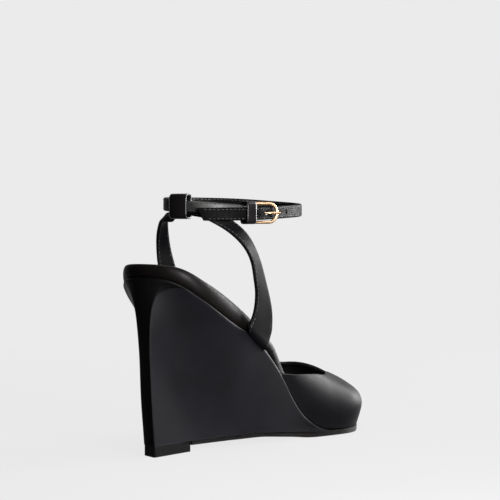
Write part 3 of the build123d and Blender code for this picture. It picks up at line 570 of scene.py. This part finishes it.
# ------------------------------------------------------------------
# foot bed: padded rim and upper face
# ------------------------------------------------------------------
def bed_mesh():
    step = 3
    o, nn = OUT[::step], NRM[::step]
    n = len(o)
    fr = np.clip((o[:, 0] - 80) / 20.0, 0, 1)
    front = 4.6 * fr * fr * (3 - 2 * fr)
    rows = []
    H = f_top(o[:, 0]) - f_low(o[:, 0])
    prof = [(4.0, 0.02), (1.3, 0.02), (0.75, 0.05), (0.35, 0.12), (-0.05, 0.24), (-0.3, 0.40),
            (-0.35, 0.55), (-0.25, 0.70), (0.0, 0.82), (0.35, 0.90), (0.8, 0.955),
            (1.35, 0.985), (2.0, 1.0), (2.8, 0.995), (3.8, 0.975)]
    for ins, q in prof:
        k = ins + front + 0.65
        p = o - nn * k[:, None]
        xx = np.clip(p[:, 0], 0, 206)
        z = f_low(o[:, 0]) + H * q
        if ins > 1:
            z = z + (f_top(xx) - f_top(o[:, 0])) * min(1.0, (ins - 1) / 1.5)
        rows.append(np.concatenate([p, z[:, None]], 1))
    edge = rows[-1]
    cx = np.clip(edge[:, 0], 22, 186)
    cy = 0.5 * (np.interp(cx, [22, 186], [0.5, 6.5]) + 0.5 * (outline_lat(cx) + outline_med(cx)))
    for fcn in (0.12, 0.28, 0.45, 0.62, 0.78, 0.9, 0.97):
        x = edge[:, 0] * (1 - fcn) + cx * fcn
        y = edge[:, 1] * (1 - fcn) + cy * fcn
        dish = np.interp(x, [0, 12, 35, 70, 100, 206], [1.0, 2.2, 2.6, 1.6, 0.8, 0.3])
        z = f_top(np.clip(x, 0, 206)) - 0.2 - dish * (1 - (1 - fcn) ** 2)
        rows.append(np.stack([x, y, z], 1))
    P = np.stack(rows, 1)
    return P


P = bed_mesh()
nb_u, nb_v = P.shape[:2]
fb = grid_faces(nb_u, nb_v, wrap_u=True)
half = nb_u // 2
for i in range(half - 1):
    a, b = i * nb_v + nb_v - 1, (i + 1) * nb_v + nb_v - 1
    c, d = (nb_u - 2 - i) * nb_v + nb_v - 1, (nb_u - 1 - i) * nb_v + nb_v - 1
    if len({a, b, c, d}) == 4:
        fb.append((a, b, c, d))
bed = make_mesh("footbed_leather", P.reshape(-1, 3), fb, "shoe", [M_BED, M_SOCK],
                mat_index=[1 if k >= nb_u * (nb_v - 1) or k % (nb_v - 1) >= 14 else 0
                           for k in range(len(fb))])
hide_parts("footbed_cover", "footbed_sock", "footbed_pad")

# ------------------------------------------------------------------
# vamp
# ------------------------------------------------------------------
SH = spline3([(a, b) for a, b in SHAPE], 400)
SH_B = spline3([(a, b) for a, b in SHAPE_BACK], 400)
SHQ = np.linspace(0, 1, 400)
X_END = 206.3


def half_width(x):
    a = 0.5 * (outline_med(np.minimum(x, 200)) - outline_lat(np.minimum(x, 200)))
    d = np.maximum(X_END - x, 0)
    b = 0.68 * np.sqrt(d * d + 8.6 * d)
    t = np.clip((x - 172) / 14.0, 0, 1)
    t = t * t * (3 - 2 * t)
    return a * (1 - t) + b * t


def mid_y(x):
    xc = np.minimum(x, 196)
    m = 0.5 * (outline_med(xc) + outline_lat(xc))
    t = np.clip((x - 180) / 20.0, 0, 1)
    return m * (1 - t) + t * np.interp(x, [180, 206], [5.5, 4.6])


def vsurf(x, q):
    """vamp surface at section x and position q (0 outer feather edge, 1 inner)"""
    x = np.asarray(x, float)
    k = np.clip((x - 126) / 30.0, 0, 1)
    k = k * k * (3 - 2 * k)
    p = np.interp(q, SHQ, SH[:, 0]) * k + np.interp(q, SHQ, SH_B[:, 0]) * (1 - k)
    s = np.interp(q, SHQ, SH[:, 1]) * k + np.interp(q, SHQ, SH_B[:, 1]) * (1 - k)
    z0 = f_groove(x)
    d = np.clip((X_END - x) / 5.0, 0, 1)
    h = (f_vtop(x) - z0)
    h = 1.2 + (h - 1.2) * np.sqrt(np.maximum(0, 1 - (1 - d) ** 2))
    return np.stack([x, mid_y(x) + half_width(x) * p, z0 + h * s], -1)


QF = np.linspace(0, 1, 2001)


def find_q(x, target, axis, lo, hi):
    q = QF[(QF >= lo) & (QF <= hi)]
    v = vsurf(np.full(len(q), x), q)[:, axis]
    return float(q[int(np.argmin(np.abs(v - target)))])


TOPLINE = []
for x, z in ((89.5, 36.6), (95, 36.4), (102, 36.1), (109, 35.7), (115, 35.3)):
    TOPLINE.append((x, find_q(x, z, 2, 0.0, 0.45)))
for x, y in ((122, -26.6), (128, -25.6), (134, -22.6), (140, -18.3), (147, -14.0),
             (155, -9.6), (160.5, -7.0)):
    TOPLINE.append((x, find_q(x, y, 1, 0.1, 0.6)))
vq = find_q(163, -5.6, 1, 0.1, 0.7)
TOPLINE.append((163, vq))
MEDLINE = [(163, vq)]
for x, y in ((162.2, -3.0), (160.6, 1.0), (158.8, 5.0), (157.2, 9.0), (155.6, 14.5), (153.2, 19.5)):
    MEDLINE.append((x, find_q(x, y, 1, 0.3, 0.8)))
for x, z in ((147.5, 37.4), (140, 37.2), (130, 37.0), (120, 36.9), (110, 36.8), (100, 36.7),
             (89.5, 36.6)):
    MEDLINE.append((x, find_q(x, z, 2, 0.58, 1.0)))
SC = 90.0   # weight of q against x when spacing points


def resample(line, n):
    p = np.array(line, float)
    p[:, 1] *= SC
    out = spline3(p, n)
    out[:, 1] /= SC
    return out


NL, NM = 120, 130
TL, TM = resample(TOPLINE, NL), resample(MEDLINE, NM)
# feather line partners: outer side to the toe, then inner side back
FL = np.zeros((NL, 2))
FL[:, 0] = np.interp(np.linspace(0, 1, NL), [0, 0.25, 0.55, 0.8, 1.0], [89.5, 112, 150, 184, 204.5])
FM = np.zeros((NM, 2))
FM[:, 0] = np.interp(np.linspace(0, 1, NM), [0, 0.12, 0.3, 0.5, 0.75, 1.0],
                     [204.5, 193, 176, 152, 118, 89.5])
FM[:, 1] = 1.0
tip_q = np.linspace(0, 1, 44)[1:-1]
TT = np.repeat(TL[-1:], len(tip_q), 0)
FT = np.stack([np.full(len(tip_q), 204.5) + 1.75 * np.sin(np.pi * tip_q), tip_q], 1)
# the V point is repeated for the toe columns; their feather ends fan out in a short arc round the tip
T_all = np.concatenate([TL, TT, TM], 0)
F_all = np.concatenate([FL, FT, FM], 0)
nV = len(T_all)
# rows spaced evenly from the topline to the feather points
rows_t = np.linspace(0, 1, 64)
rows_t = rows_t ** 1.0
cols = []
for i in range(nV):
    a, b = T_all[i], F_all[i]
    e = rows_t[:, None]
    cols.append(a * (1 - e) + b * e)
XQ = np.array(cols)
V = vsurf(XQ[..., 0], XQ[..., 1])
vamp_faces = grid_faces(V.shape[0], V.shape[1])
# below the feather edge the leather turns under the foot
inn = V[:, -1].copy()
c2 = np.stack([np.clip(inn[:, 0], 95, 192), mid_y(np.clip(inn[:, 0], 95, 192))], 1)
dirn = unit(c2 - inn[:, :2])
turn = inn.copy()
turn[:, :2] += dirn * 5.0
turn[:, 2] = np.minimum(inn[:, 2], f_groove(inn[:, 0])) - 0.2
turn1 = inn.copy()
turn1[:, :2] += dirn * 0.7
turn1[:, 2] = np.minimum(inn[:, 2], f_groove(inn[:, 0])) - 0.25
V2 = np.concatenate([V, turn1[:, None], turn[:, None]], 1)
vamp_faces = grid_faces(V2.shape[0], V2.shape[1])
d_u = V2[1:, :-1] - V2[:-1, :-1]
d_v = V2[:-1, 1:] - V2[:-1, :-1]
face_n = np.cross(d_u, d_v)
out_dir = V2[:-1, :-1] - np.array([130.0, 2.0, 5.0])
if np.sum(face_n * out_dir) < 0:
    vamp_faces = [tuple(reversed(f)) for f in vamp_faces]
vamp = make_mesh("vamp", V2.reshape(-1, 3), vamp_faces, "shoe", [M_VAMP_PAINTED_SHADE, M_LINING, M_ARM])
sol = vamp.modifiers.new("thickness", "SOLIDIFY")
sol.thickness = 0.0018
sol.material_offset = 1
sol.material_offset_rim = 2
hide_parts("vamp_outer", "vamp_lining", "toe_puff")


# ------------------------------------------------------------------
# straps
# ------------------------------------------------------------------
def ribbon(name, A, B, N, thick, body, mats, caps=True, r=0.28, layer=0.5):
    """strap between edge curves A and B; N outward direction, two glued layers"""
    n = len(A)
    w = np.linalg.norm(B - A, axis=1)
    u = unit(B - A)
    h = thick / 2
    prof = []   # (along width from A in mm from edge or share, offset)
    for s, o in ((0, 0.12), (0.06, h * 0.62), (0.3, h * 0.9), (0.7, h)):
        prof.append(("a", s, o))
    for k in (0.22, 0.4, 0.6, 0.78):
        prof.append(("f", k, h + 0.05 * math.sin(math.pi * k)))
    for s, o in ((0.7, h), (0.3, h * 0.9), (0.06, h * 0.62), (0, 0.12), (0.14, 0.0), (0, -0.12),
                 (0.06, -h * 0.62), (0.3, -h * 0.9), (0.7, -h)):
        prof.append(("b", s, o))
    for k in (0.75, 0.5, 0.25):
        prof.append(("f", k, -h))
    for s, o in ((0.7, -h), (0.3, -h * 0.9), (0.06, -h * 0.62), (0, -0.12), (0.14, 0.0)):
        prof.append(("a", s, o))
    m = len(prof)
    out = np.zeros((n, m, 3))
    for j, (kind, s, o) in enumerate(prof):
        if kind == "a":
            p = A + u * np.minimum(s, w * 0.3)[:, None]
        elif kind == "b":
            p = B - u * np.minimum(s, w * 0.3)[:, None]
        else:
            p = A + (B - A) * s
        out[:, j] = p + N * o
    faces = grid_faces(n, m, wrap_v=True)
    verts = out.reshape(-1, 3)
    if caps:
        faces.append(tuple(range(m)))
        faces.append(tuple(reversed([(n - 1) * m + j for j in range(m)])))
    ob = make_mesh(name, verts, faces, body, mats)
    fix_normals(ob)
    return ob


def fix_normals(ob):
    import bmesh
    bm = bmesh.new()
    bm.from_mesh(ob.data)
    bmesh.ops.recalc_face_normals(bm, faces=bm.faces)
    bm.to_mesh(ob.data)
    bm.free()


def stitches(name, lines, body, length=1.6, gap=0.7, r=0.2):
    """rows of short threads: lines is a list of (points, outward directions)"""
    V_, F_ = [], []
    for pts_, nrm_ in lines:
        seg = np.concatenate([[0], np.cumsum(np.linalg.norm(np.diff(pts_, axis=0), axis=1))])
        s = 0.6
        while s + length < seg[-1] - 0.4:
            a = np.array([np.interp(s, seg, pts_[:, k]) for k in range(3)])
            b = np.array([np.interp(s + length, seg, pts_[:, k]) for k in range(3)])
            nn_ = np.array([np.interp(s + length / 2, seg, nrm_[:, k]) for k in range(3)])
            t_ = unit(b - a)
            nn_ = unit(nn_ - t_ * np.dot(nn_, t_))
            c_ = np.cross(t_, nn_)
            base = len(V_)
            for k, (al, rr) in enumerate(((0, 0.25), (0.15, 0.8), (0.5, 1.0), (0.85, 0.8),
                                          (1.0, 0.25))):
                o = a * (1 - al) + b * al + nn_ * (-0.06 if k in (0, 4) else 0.02)
                for q in range(6):
                    an = q * math.pi / 3
                    V_.append(o + (nn_ * math.sin(an) * 0.8 + c_ * math.cos(an)) * r * rr)
            for k in range(4):
                for q in range(6):
                    F_.append((base + k * 6 + q, base + k * 6 + (q + 1) % 6,
                               base + (k + 1) * 6 + (q + 1) % 6, base + (k + 1) * 6 + q))
            F_.append(tuple(base + q for q in range(5, -1, -1)))
            F_.append(tuple(base + 24 + q for q in range(6)))
            s += length + gap
    ob = make_mesh(name, np.array(V_), F_, body, [M_THREAD])
    fix_normals(ob)
    return ob


def ring_pt(deg, off):
    deg = np.asarray(deg, float)
    c, s = np.cos(np.radians(deg)), np.sin(np.radians(deg))
    x, y = RING_X + RING_A * c, -RING_B * s
    nx, ny = c / RING_A, -s / RING_B
    l = np.hypot(nx, ny)
    nx, ny = nx / l, ny / l
    return np.stack([x + nx * off, y + ny * off], -1), np.stack([nx, ny], -1)


# sling arms: rear edge and front edge curves
L_REAR = [(58.0, -20.5, 60.5), (57.0, -23.5, 61.2), (55.4, -26.4, 62.6), (53.9, -27.8, 64.6),
          (55.0, -28.4, 67.2), (56.2, -29.1, 70.5), (57.2, -30.0, 77.2), (56.7, -30.6, 83.9),
          (54.9, -30.9, 90.8), (53.2, -30.5, 98.7), (51.0, -29.2, 104.6), (49.3, -27.2, 108.4),
          (47.4, -23.8, 112.3), (44.9, -19.6, 115.9), (42.0, -15.9, 118.6), (39.4, -12.9, 120.6)]
L_FRONT = [(72.0, -20.0, 50.5), (72.3, -23.0, 51.2), (72.4, -25.8, 52.6), (74.0, -26.7, 57.6),
           (74.8, -27.3, 61.3), (74.6, -27.8, 64.3), (72.7, -29.2, 71.0), (69.4, -30.3, 78.7),
           (65.1, -30.9, 87.8), (61.8, -31.0, 95.4), (59.6, -30.2, 101.6), (58.0, -28.0, 108.0),
           (56.0, -24.9, 113.8), (52.3, -21.9, 118.6), (47.8, -18.8, 122.2), (43.4, -15.6, 124.8)]
M_REAR = [(57.5, 18.0, 60.0), (56.3, 21.3, 61.2), (54.8, 24.6, 63.0), (53.6, 26.4, 66.0),
          (54.8, 27.9, 70.5), (56.0, 29.4, 77.2), (55.7, 30.9, 83.9), (53.9, 31.7, 90.8),
          (51.5, 31.6, 97.0), (49.6, 30.9, 105.5), (46.8, 28.5, 112.0), (42.6, 23.6, 117.8),
          (38.9, 17.6, 120.2)]
M_FRONT = [(71.5, 15.5, 50.5), (71.8, 18.6, 51.4), (72.2, 21.6, 53.0), (74.2, 22.9, 58.5),
           (74.6, 24.5, 64.3), (72.5, 26.4, 71.0), (69.3, 27.6, 78.7), (65.3, 28.0, 87.8),
           (61.0, 27.6, 96.3), (57.9, 27.9, 105.0), (54.0, 26.3, 113.0), (48.2, 22.2, 120.0),
           (41.8, 16.6, 124.4)]


def arm(side, rear, front):
    A, B = [list(p) for p in rear], [list(p) for p in front]
    if side == "lat":
        degs = [(158, 125.2), (165, 125.8), (172, 126.2), (179.4, 126.3)]
    else:
        degs = [(203, 122.9), (196, 124.6), (188, 125.9), (180.6, 126.3)]
    for d, z in degs:
        p, nr = ring_pt(d, -2.75)
        A.append((p[0], p[1], z - 2.8))
        B.append((p[0], p[1], z + 2.8))
    A, B = np.array(A, float), np.array(B, float)
    n = 150
    # same parameter on both edges
    mid_ = 0.5 * (A + B)
    d = np.linalg.norm(np.diff(mid_, axis=0), axis=1)
    t = np.concatenate([[0], np.cumsum(d)])
    q = np.linspace(0, t[-1], n)
    A, B = cubic(t, A, q), cubic(t, B, q)
    T = unit(np.gradient(0.5 * (A + B), axis=0))
    N = unit(np.cross(T, B - A))
    ref = np.array([0.5 * (A + B)[:, 0] - 62.0, 0.5 * (A + B)[:, 1], np.zeros(n)]).T
    sgn = np.sign(np.sum(N * ref, 1))
    N = N * np.where(np.median(sgn) >= 0, 1, -1)
    return A, B, N


for side, rear, front, nm in (("lat", L_REAR, L_FRONT, "lateral"), ("med", M_REAR, M_FRONT, "medial")):
    A, B, N = arm(side, rear, front)
    ob = ribbon(nm + "_sling_arm", A, B, N, 1.9, "shoe", [M_ARM])
    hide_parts(nm + "_sling_strap", nm + "_sling_lining")
    u = unit(B - A)
    st = stitches(nm + "_sling_stitches",
                  [(A[10:-8] + u[10:-8] * 1.05 + N[10:-8] * 0.93, N[10:-8]),
                   (B[10:-8] - u[10:-8] * 1.05 + N[10:-8] * 0.93, N[10:-8]),
                   (A[10:-8] + u[10:-8] * 1.05 - N[10:-8] * 0.93, -N[10:-8]),
                   (B[10:-8] - u[10:-8] * 1.05 - N[10:-8] * 0.93, -N[10:-8])], "shoe")

RING_Z = [(-200, 130.0), (-180, 128.6), (-120, 129.8), (-60, 129.4), (0, 127.2), (50, 125.8),
          (90, 124.9), (110, 124.3), (160, 124.0)]
BILLET_OFF = [(-180, 0), (-20, 0.2), (10, 1.0), (35, 1.5), (56, 0.8), (72, 0.1), (84.5, 0.2), (94.5, 1.0), (102, 2.0), (107, 2.7), (112, 2.9),
              (125, 2.8), (157, 2.6)]
CHAPE_Z = [(103, 125.2), (116, 125.6), (128, 126.5), (150, 127.6), (180, 128.4)]
f_rz, f_boff, f_cz = smooth(RING_Z, 10, 0.5), smooth(BILLET_OFF, 2.5), smooth(CHAPE_Z, 4)


def ring_ribbon(d0, d1, n, off, zf, height, tip=False):
    d = np.linspace(d0, d1, n)
    p, nr = ring_pt(d, off(d))
    z = zf(d)
    hgt = np.full(n, height, float)
    A = np.stack([p[:, 0], p[:, 1], z - hgt / 2], 1)
    B = np.stack([p[:, 0], p[:, 1], z + hgt / 2], 1)
    N = np.stack([nr[:, 0], nr[:, 1], np.zeros(n)], 1)
    if tip:
        # slanted end: the lower edge runs on, the upper edge is cut back
        T = unit(np.gradient(0.5 * (A + B), axis=0))
        s = np.concatenate([[0], np.cumsum(np.linalg.norm(np.diff(p, axis=0), axis=1))])
        left = s[-1] - s
        k = np.clip(1 - left / 5.0, 0, 1) ** 1.5
        A[:, 2] += k * 0.3
        B[:, 2] -= k * (height * 0.80)
    return A, B, N


A, B, N = ring_ribbon(-176, 157.5, 520, lambda d: f_boff(d), lambda d: f_rz(d), 6.8, tip=False)
# slanted tip by shearing the last rows
s_arc = np.concatenate([[0], np.cumsum(np.linalg.norm(np.diff(0.5 * (A + B), axis=0), axis=1))])
tail = np.clip((s_arc - (s_arc[-1] - 9.0)) / 9.0, 0, 1) ** 2
T = unit(np.gradient(0.5 * (A + B), axis=0))
B = B + T * (1.6 * tail)[:, None]
A = A - T * (1.8 * tail)[:, None]
A[:, 2] += 0.1 * tail
billet = ribbon("ankle_strap_long", A, B, N, 1.6, "ankle_strap", [M_STRAP])
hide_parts("ankle_strap_billet")
u = unit(B - A)
stitches("ankle_strap_long_stitches",
         [(A[6:-3] + u[6:-3] * 0.95 + N[6:-3] * 0.79, N[6:-3]),
          (B[6:-3] - u[6:-3] * 0.95 + N[6:-3] * 0.79, N[6:-3]),
          (A[6:-3] + u[6:-3] * 0.95 - N[6:-3] * 0.79, -N[6:-3]),
          (B[6:-3] - u[6:-3] * 0.95 - N[6:-3] * 0.79, -N[6:-3])], "ankle_strap")
# punched holes
for k, (deg, rx) in enumerate(((102.8, 2.4), (87.0, 0.85), (79, 0.85))):
    p, nr = ring_pt(deg, float(f_boff(deg)))
    bpy.ops.mesh.primitive_cylinder_add(vertices=24, radius=0.00085, depth=0.006)
    cut = bpy.context.active_object
    cut.name = "hole_tool_%d" % k
    cut.rotation_mode = "QUATERNION"
    cut.rotation_quaternion = Vector((nr[0], nr[1], 0)).to_track_quat("Z", "Y")
    cut.location = Vector(((p[0] - SHIFT) / 1000, p[1] / 1000, float(f_rz(deg)) / 1000))
    bpy.context.view_layer.update()
    mw = cut.matrix_world.copy()
    cut.data.transform(mw)
    cut.matrix_world.identity()
    if rx > 1:
        t_ = np.array([-nr[1], nr[0]])
        o_ = np.array([(p[0] - SHIFT) / 1000, p[1] / 1000])
        for v in cut.data.vertices:
            r_ = np.array([v.co.x, v.co.y]) - o_
            al = float(np.dot(r_, t_))
            v.co.x += t_[0] * al * (rx / 0.85 - 1)
            v.co.y += t_[1] * al * (rx / 0.85 - 1)
            v.co.z = float(f_rz(deg)) / 1000 + (v.co.z - float(f_rz(deg)) / 1000) * 1.3
    bm_ = billet.modifiers.new("hole%d" % k, "BOOLEAN")
    bm_.operation = "DIFFERENCE"
    bm_.solver = "EXACT"
    bm_.object = cut
    bpy.context.view_layer.objects.active = billet
    bpy.ops.object.modifier_apply(modifier=bm_.name)
    bpy.data.objects.remove(cut)

bar_p, _ = ring_pt(111.7, -0.2)
A, B, N = ring_ribbon(177, 113.0, 110,
                      lambda d: np.interp(d, [108, 122, 180], [-0.2, 0, 0]),
                      lambda d: f_cz(d), 5.6)
chape = ribbon("ankle_strap_short", A, B, N, 1.6, "ankle_strap", [M_CHAPE])
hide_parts("ankle_strap_chape")
u = unit(B - A)
stitches("ankle_strap_short_stitches",
         [(A[4:-6] + u[4:-6] * 0.8 + N[4:-6] * 0.79, N[4:-6]),
          (B[4:-6] - u[4:-6] * 0.8 + N[4:-6] * 0.79, N[4:-6])], "ankle_strap")

# fold of the short strap round the buckle bar, split round the prong
end_p, _ = ring_pt(94.4, float(f_boff(94.4)) + 0.8 + 0.85 + 0.75)
tt = unit(end_p - bar_p)
nn = np.array([tt[1], -tt[0]])


def tube_seg(z0, z1, r0, r1, n=36):
    """leather fold: short thick tube round the bar"""
    V_, F_ = [], []
    prof = [(r1, z0 + 0.15), (r1 - 0.12, z0), (r0 + 0.1, z0), (r0, z0 + 0.1), (r0, z1 - 0.1),
            (r0 + 0.1, z1), (r1 - 0.12, z1), (r1, z1 - 0.15)]
    m = len(prof)
    for i in range(n):
        a = 2 * math.pi * i / n
        for r, z in prof:
            q = bar_p + (tt * math.cos(a) + nn * math.sin(a)) * r
            V_.append((q[0], q[1], z))
    return V_, grid_faces(n, m, wrap_u=True, wrap_v=True)


V_, F_ = tube_seg(122.4, 123.5, 0.80, 1.6)
V2_, F2_ = tube_seg(125.9, 128.0, 0.80, 1.6)
F_ += [tuple(i + len(V_) for i in f) for f in F2_]
fold = make_mesh("ankle_strap_fold", np.array(V_ + V2_), F_, "ankle_strap", [M_CHAPE])
fix_normals(fold)


def sleeve(name, d0, d1, n, off, zf, outer, inner, body, mat, rr=(1.8, 0.9)):
    """closed band round the strap: outer and inner are (thickness, height)"""
    m = 56

    def loop(w, h, r):
        out = []
        for i in range(m):
            a = 2 * math.pi * i / m
            c, s = math.cos(a), math.sin(a)
            e = 2.0 / 5.0
            out.append((w / 2 * math.copysign(abs(c) ** e, c), h / 2 * math.copysign(abs(s) ** e, s)))
        return out

    O, I = loop(*outer, rr[0]), loop(*inner, rr[1])
    d = np.linspace(d0, d1, n)
    prof = []
    p, nr = ring_pt(d, off)
    V_ = []
    layers = [(O, 0.0, 0), (O, -0.12, 0)]
    cols = []
    t_arc = np.linspace(0, 1, n)

    def station(i, L, shrink):
        res = []
        for (a, b) in L:
            k = 1 - shrink / max(abs(a) + abs(b), 1e-6)
            res.append((p[i, 0] + nr[i, 0] * a * k, p[i, 1] + nr[i, 1] * a * k, zf + b * k))
        return res

    rings = []
    rings.append(station(0, [(0.5 * (a + c), 0.5 * (b + d_)) for (a, b), (c, d_) in zip(O, I)], 0))
    rings.append(station(0, [(0.15 * c + 0.85 * a, 0.15 * d_ + 0.85 * b)
                             for (a, b), (c, d_) in zip(O, I)], 0))
    for i in range(1, n - 1):
        rings.append(station(i, O, 0))
    rings.append(station(n - 1, [(0.15 * c + 0.85 * a, 0.15 * d_ + 0.85 * b)
                                 for (a, b), (c, d_) in zip(O, I)], 0))
    rings.append(station(n - 1, [(0.5 * (a + c), 0.5 * (b + d_)) for (a, b), (c, d_) in zip(O, I)], 0))
    for i in range(n - 2, 0, -1):
        rings.append(station(i, I, 0))
    V_ = np.array(rings).reshape(-1, 3)
    F_ = grid_faces(len(rings), m, wrap_u=True, wrap_v=True)
    ob = make_mesh(name, V_, F_, body, [mat])
    fix_normals(ob)
    return ob


loop_ = sleeve("back_keeper_loop", 169.8, 190.0, 22, -1.2, 128.2, (7.9, 13.4), (5.6, 11.0), "shoe", M_LOOP)
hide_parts("back_loop")
kp_ = sleeve("small_keeper_loop", 114.3, 121.7, 12, 1.4, 124.9, (7.4, 12.2), (5.7, 10.5), "keeper", M_LOOP)
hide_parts("buckle_keeper")

# ------------------------------------------------------------------
# floor, light and camera
# ------------------------------------------------------------------
sc = bpy.context.scene
FLOOR_GLOW, FLOOR_TONE = 0.93, 0.03
bpy.ops.mesh.primitive_plane_add(size=60, location=(0.08, 0, -0.0001))
floor = bpy.context.active_object
floor.name = "floor"
fm = bpy.data.materials.new("floor_paint")
fm.use_nodes = True
nt = fm.node_tree
nt.nodes.clear()
fout = nt.nodes.new("ShaderNodeOutputMaterial")
mix = nt.nodes.new("ShaderNodeAddShader")
emi = nt.nodes.new("ShaderNodeEmission")
emi.inputs[0].default_value = (0.83, 0.83, 0.83, 1)
emi.inputs[1].default_value = FLOOR_GLOW
dif = nt.nodes.new("ShaderNodeBsdfDiffuse")
dif.inputs[0].default_value = (FLOOR_TONE, FLOOR_TONE, FLOOR_TONE, 1)
nt.links.new(emi.outputs[0], mix.inputs[0])
nt.links.new(dif.outputs[0], mix.inputs[1])
far = nt.nodes.new("ShaderNodeEmission")
far.inputs[0].default_value = (0.83, 0.83, 0.83, 1)
fco = nt.nodes.new("ShaderNodeTexCoord")
fln = nt.nodes.new("ShaderNodeVectorMath")
fln.operation = "LENGTH"
nt.links.new(fco.outputs["Object"], fln.inputs[0])
fmr = nt.nodes.new("ShaderNodeMapRange")
fmr.inputs["From Min"].default_value = 0.22
fmr.inputs["From Max"].default_value = 0.75
nt.links.new(fln.outputs["Value"], fmr.inputs["Value"])
fmx = nt.nodes.new("ShaderNodeMixShader")
nt.links.new(fmr.outputs[0], fmx.inputs[0])
nt.links.new(mix.outputs[0], fmx.inputs[1])
nt.links.new(far.outputs[0], fmx.inputs[2])
nt.links.new(fmx.outputs[0], fout.inputs[0])
floor.data.materials.append(fm)
floor.visible_diffuse = False
floor.visible_glossy = False

w = bpy.data.worlds.new("studio")
sc.world = w
w.use_nodes = True
wt = w.node_tree
bg = wt.nodes["Background"]
bg.inputs[1].default_value = 1.0
wc = wt.nodes.new("ShaderNodeTexCoord")
dot = wt.nodes.new("ShaderNodeVectorMath")
dot.operation = "DOT_PRODUCT"
dot.inputs[1].default_value = (0.804, 0.594, -0.027)
wt.links.new(wc.outputs["Generated"], dot.inputs[0])
wr = ramp(wt, dot.outputs["Value"], [(0.6, 0.045), (0.90, 0.83)])
lp = wt.nodes.new("ShaderNodeLightPath")
wmx = wt.nodes.new("ShaderNodeMixRGB")
wmx.inputs[2].default_value = (0.83, 0.83, 0.83, 1)
wt.links.new(lp.outputs["Is Camera Ray"], wmx.inputs[0])
wt.links.new(wr.outputs[0], wmx.inputs[1])
wt.links.new(wmx.outputs[0], bg.inputs[0])


def area(name, loc, target, size, power, size_y=None):
    l = bpy.data.lights.new(name, "AREA")
    l.energy = power
    l.size = size
    if size_y:
        l.shape = "RECTANGLE"
        l.size_y = size_y
    o = bpy.data.objects.new(name, l)
    sc.collection.objects.link(o)
    o.location = loc
    d = Vector(target) - Vector(loc)
    o.rotation_mode = "QUATERNION"
    o.rotation_quaternion = d.to_track_quat("-Z", "Y")
    return o


area("key", (0.85, -1.3, 1.2), (0.06, 0, 0.05), 0.7, 14.0)
area("side", (-0.30, -1.35, 0.40), (0.03, 0, 0.08), 0.6, 6.0)
area("glow", (-0.12, -0.34, 0.13), (0.025, -0.03, 0.08), 0.12, 2.3)
area("rim", (1.13, -0.38, 0.34), (0.16, 0, 0.03), 0.6, 34.0)
area("front", (-0.95, -0.95, 0.55), (0.02, 0, 0.08), 0.22, 4.0)
area("top", (0.1, 0.1, 1.3), (0.08, 0, 0.04), 0.5, 8.0)

cam = bpy.data.cameras.new("camera")
cam.lens = 127.0
cam.sensor_width = 36
camo = bpy.data.objects.new("camera", cam)
sc.collection.objects.link(camo)
camo.location = (-0.7064, -0.5785, 0.130)
az, el = math.radians(53.52), math.radians(1.53)
look = Vector((math.sin(az) * math.cos(el), math.cos(az) * math.cos(el), -math.sin(el)))
camo.rotation_mode = "QUATERNION"
camo.rotation_quaternion = look.to_track_quat("-Z", "Y")
sc.camera = camo
sc.view_settings.view_transform = "Standard"

bpy.context.view_layer.update()
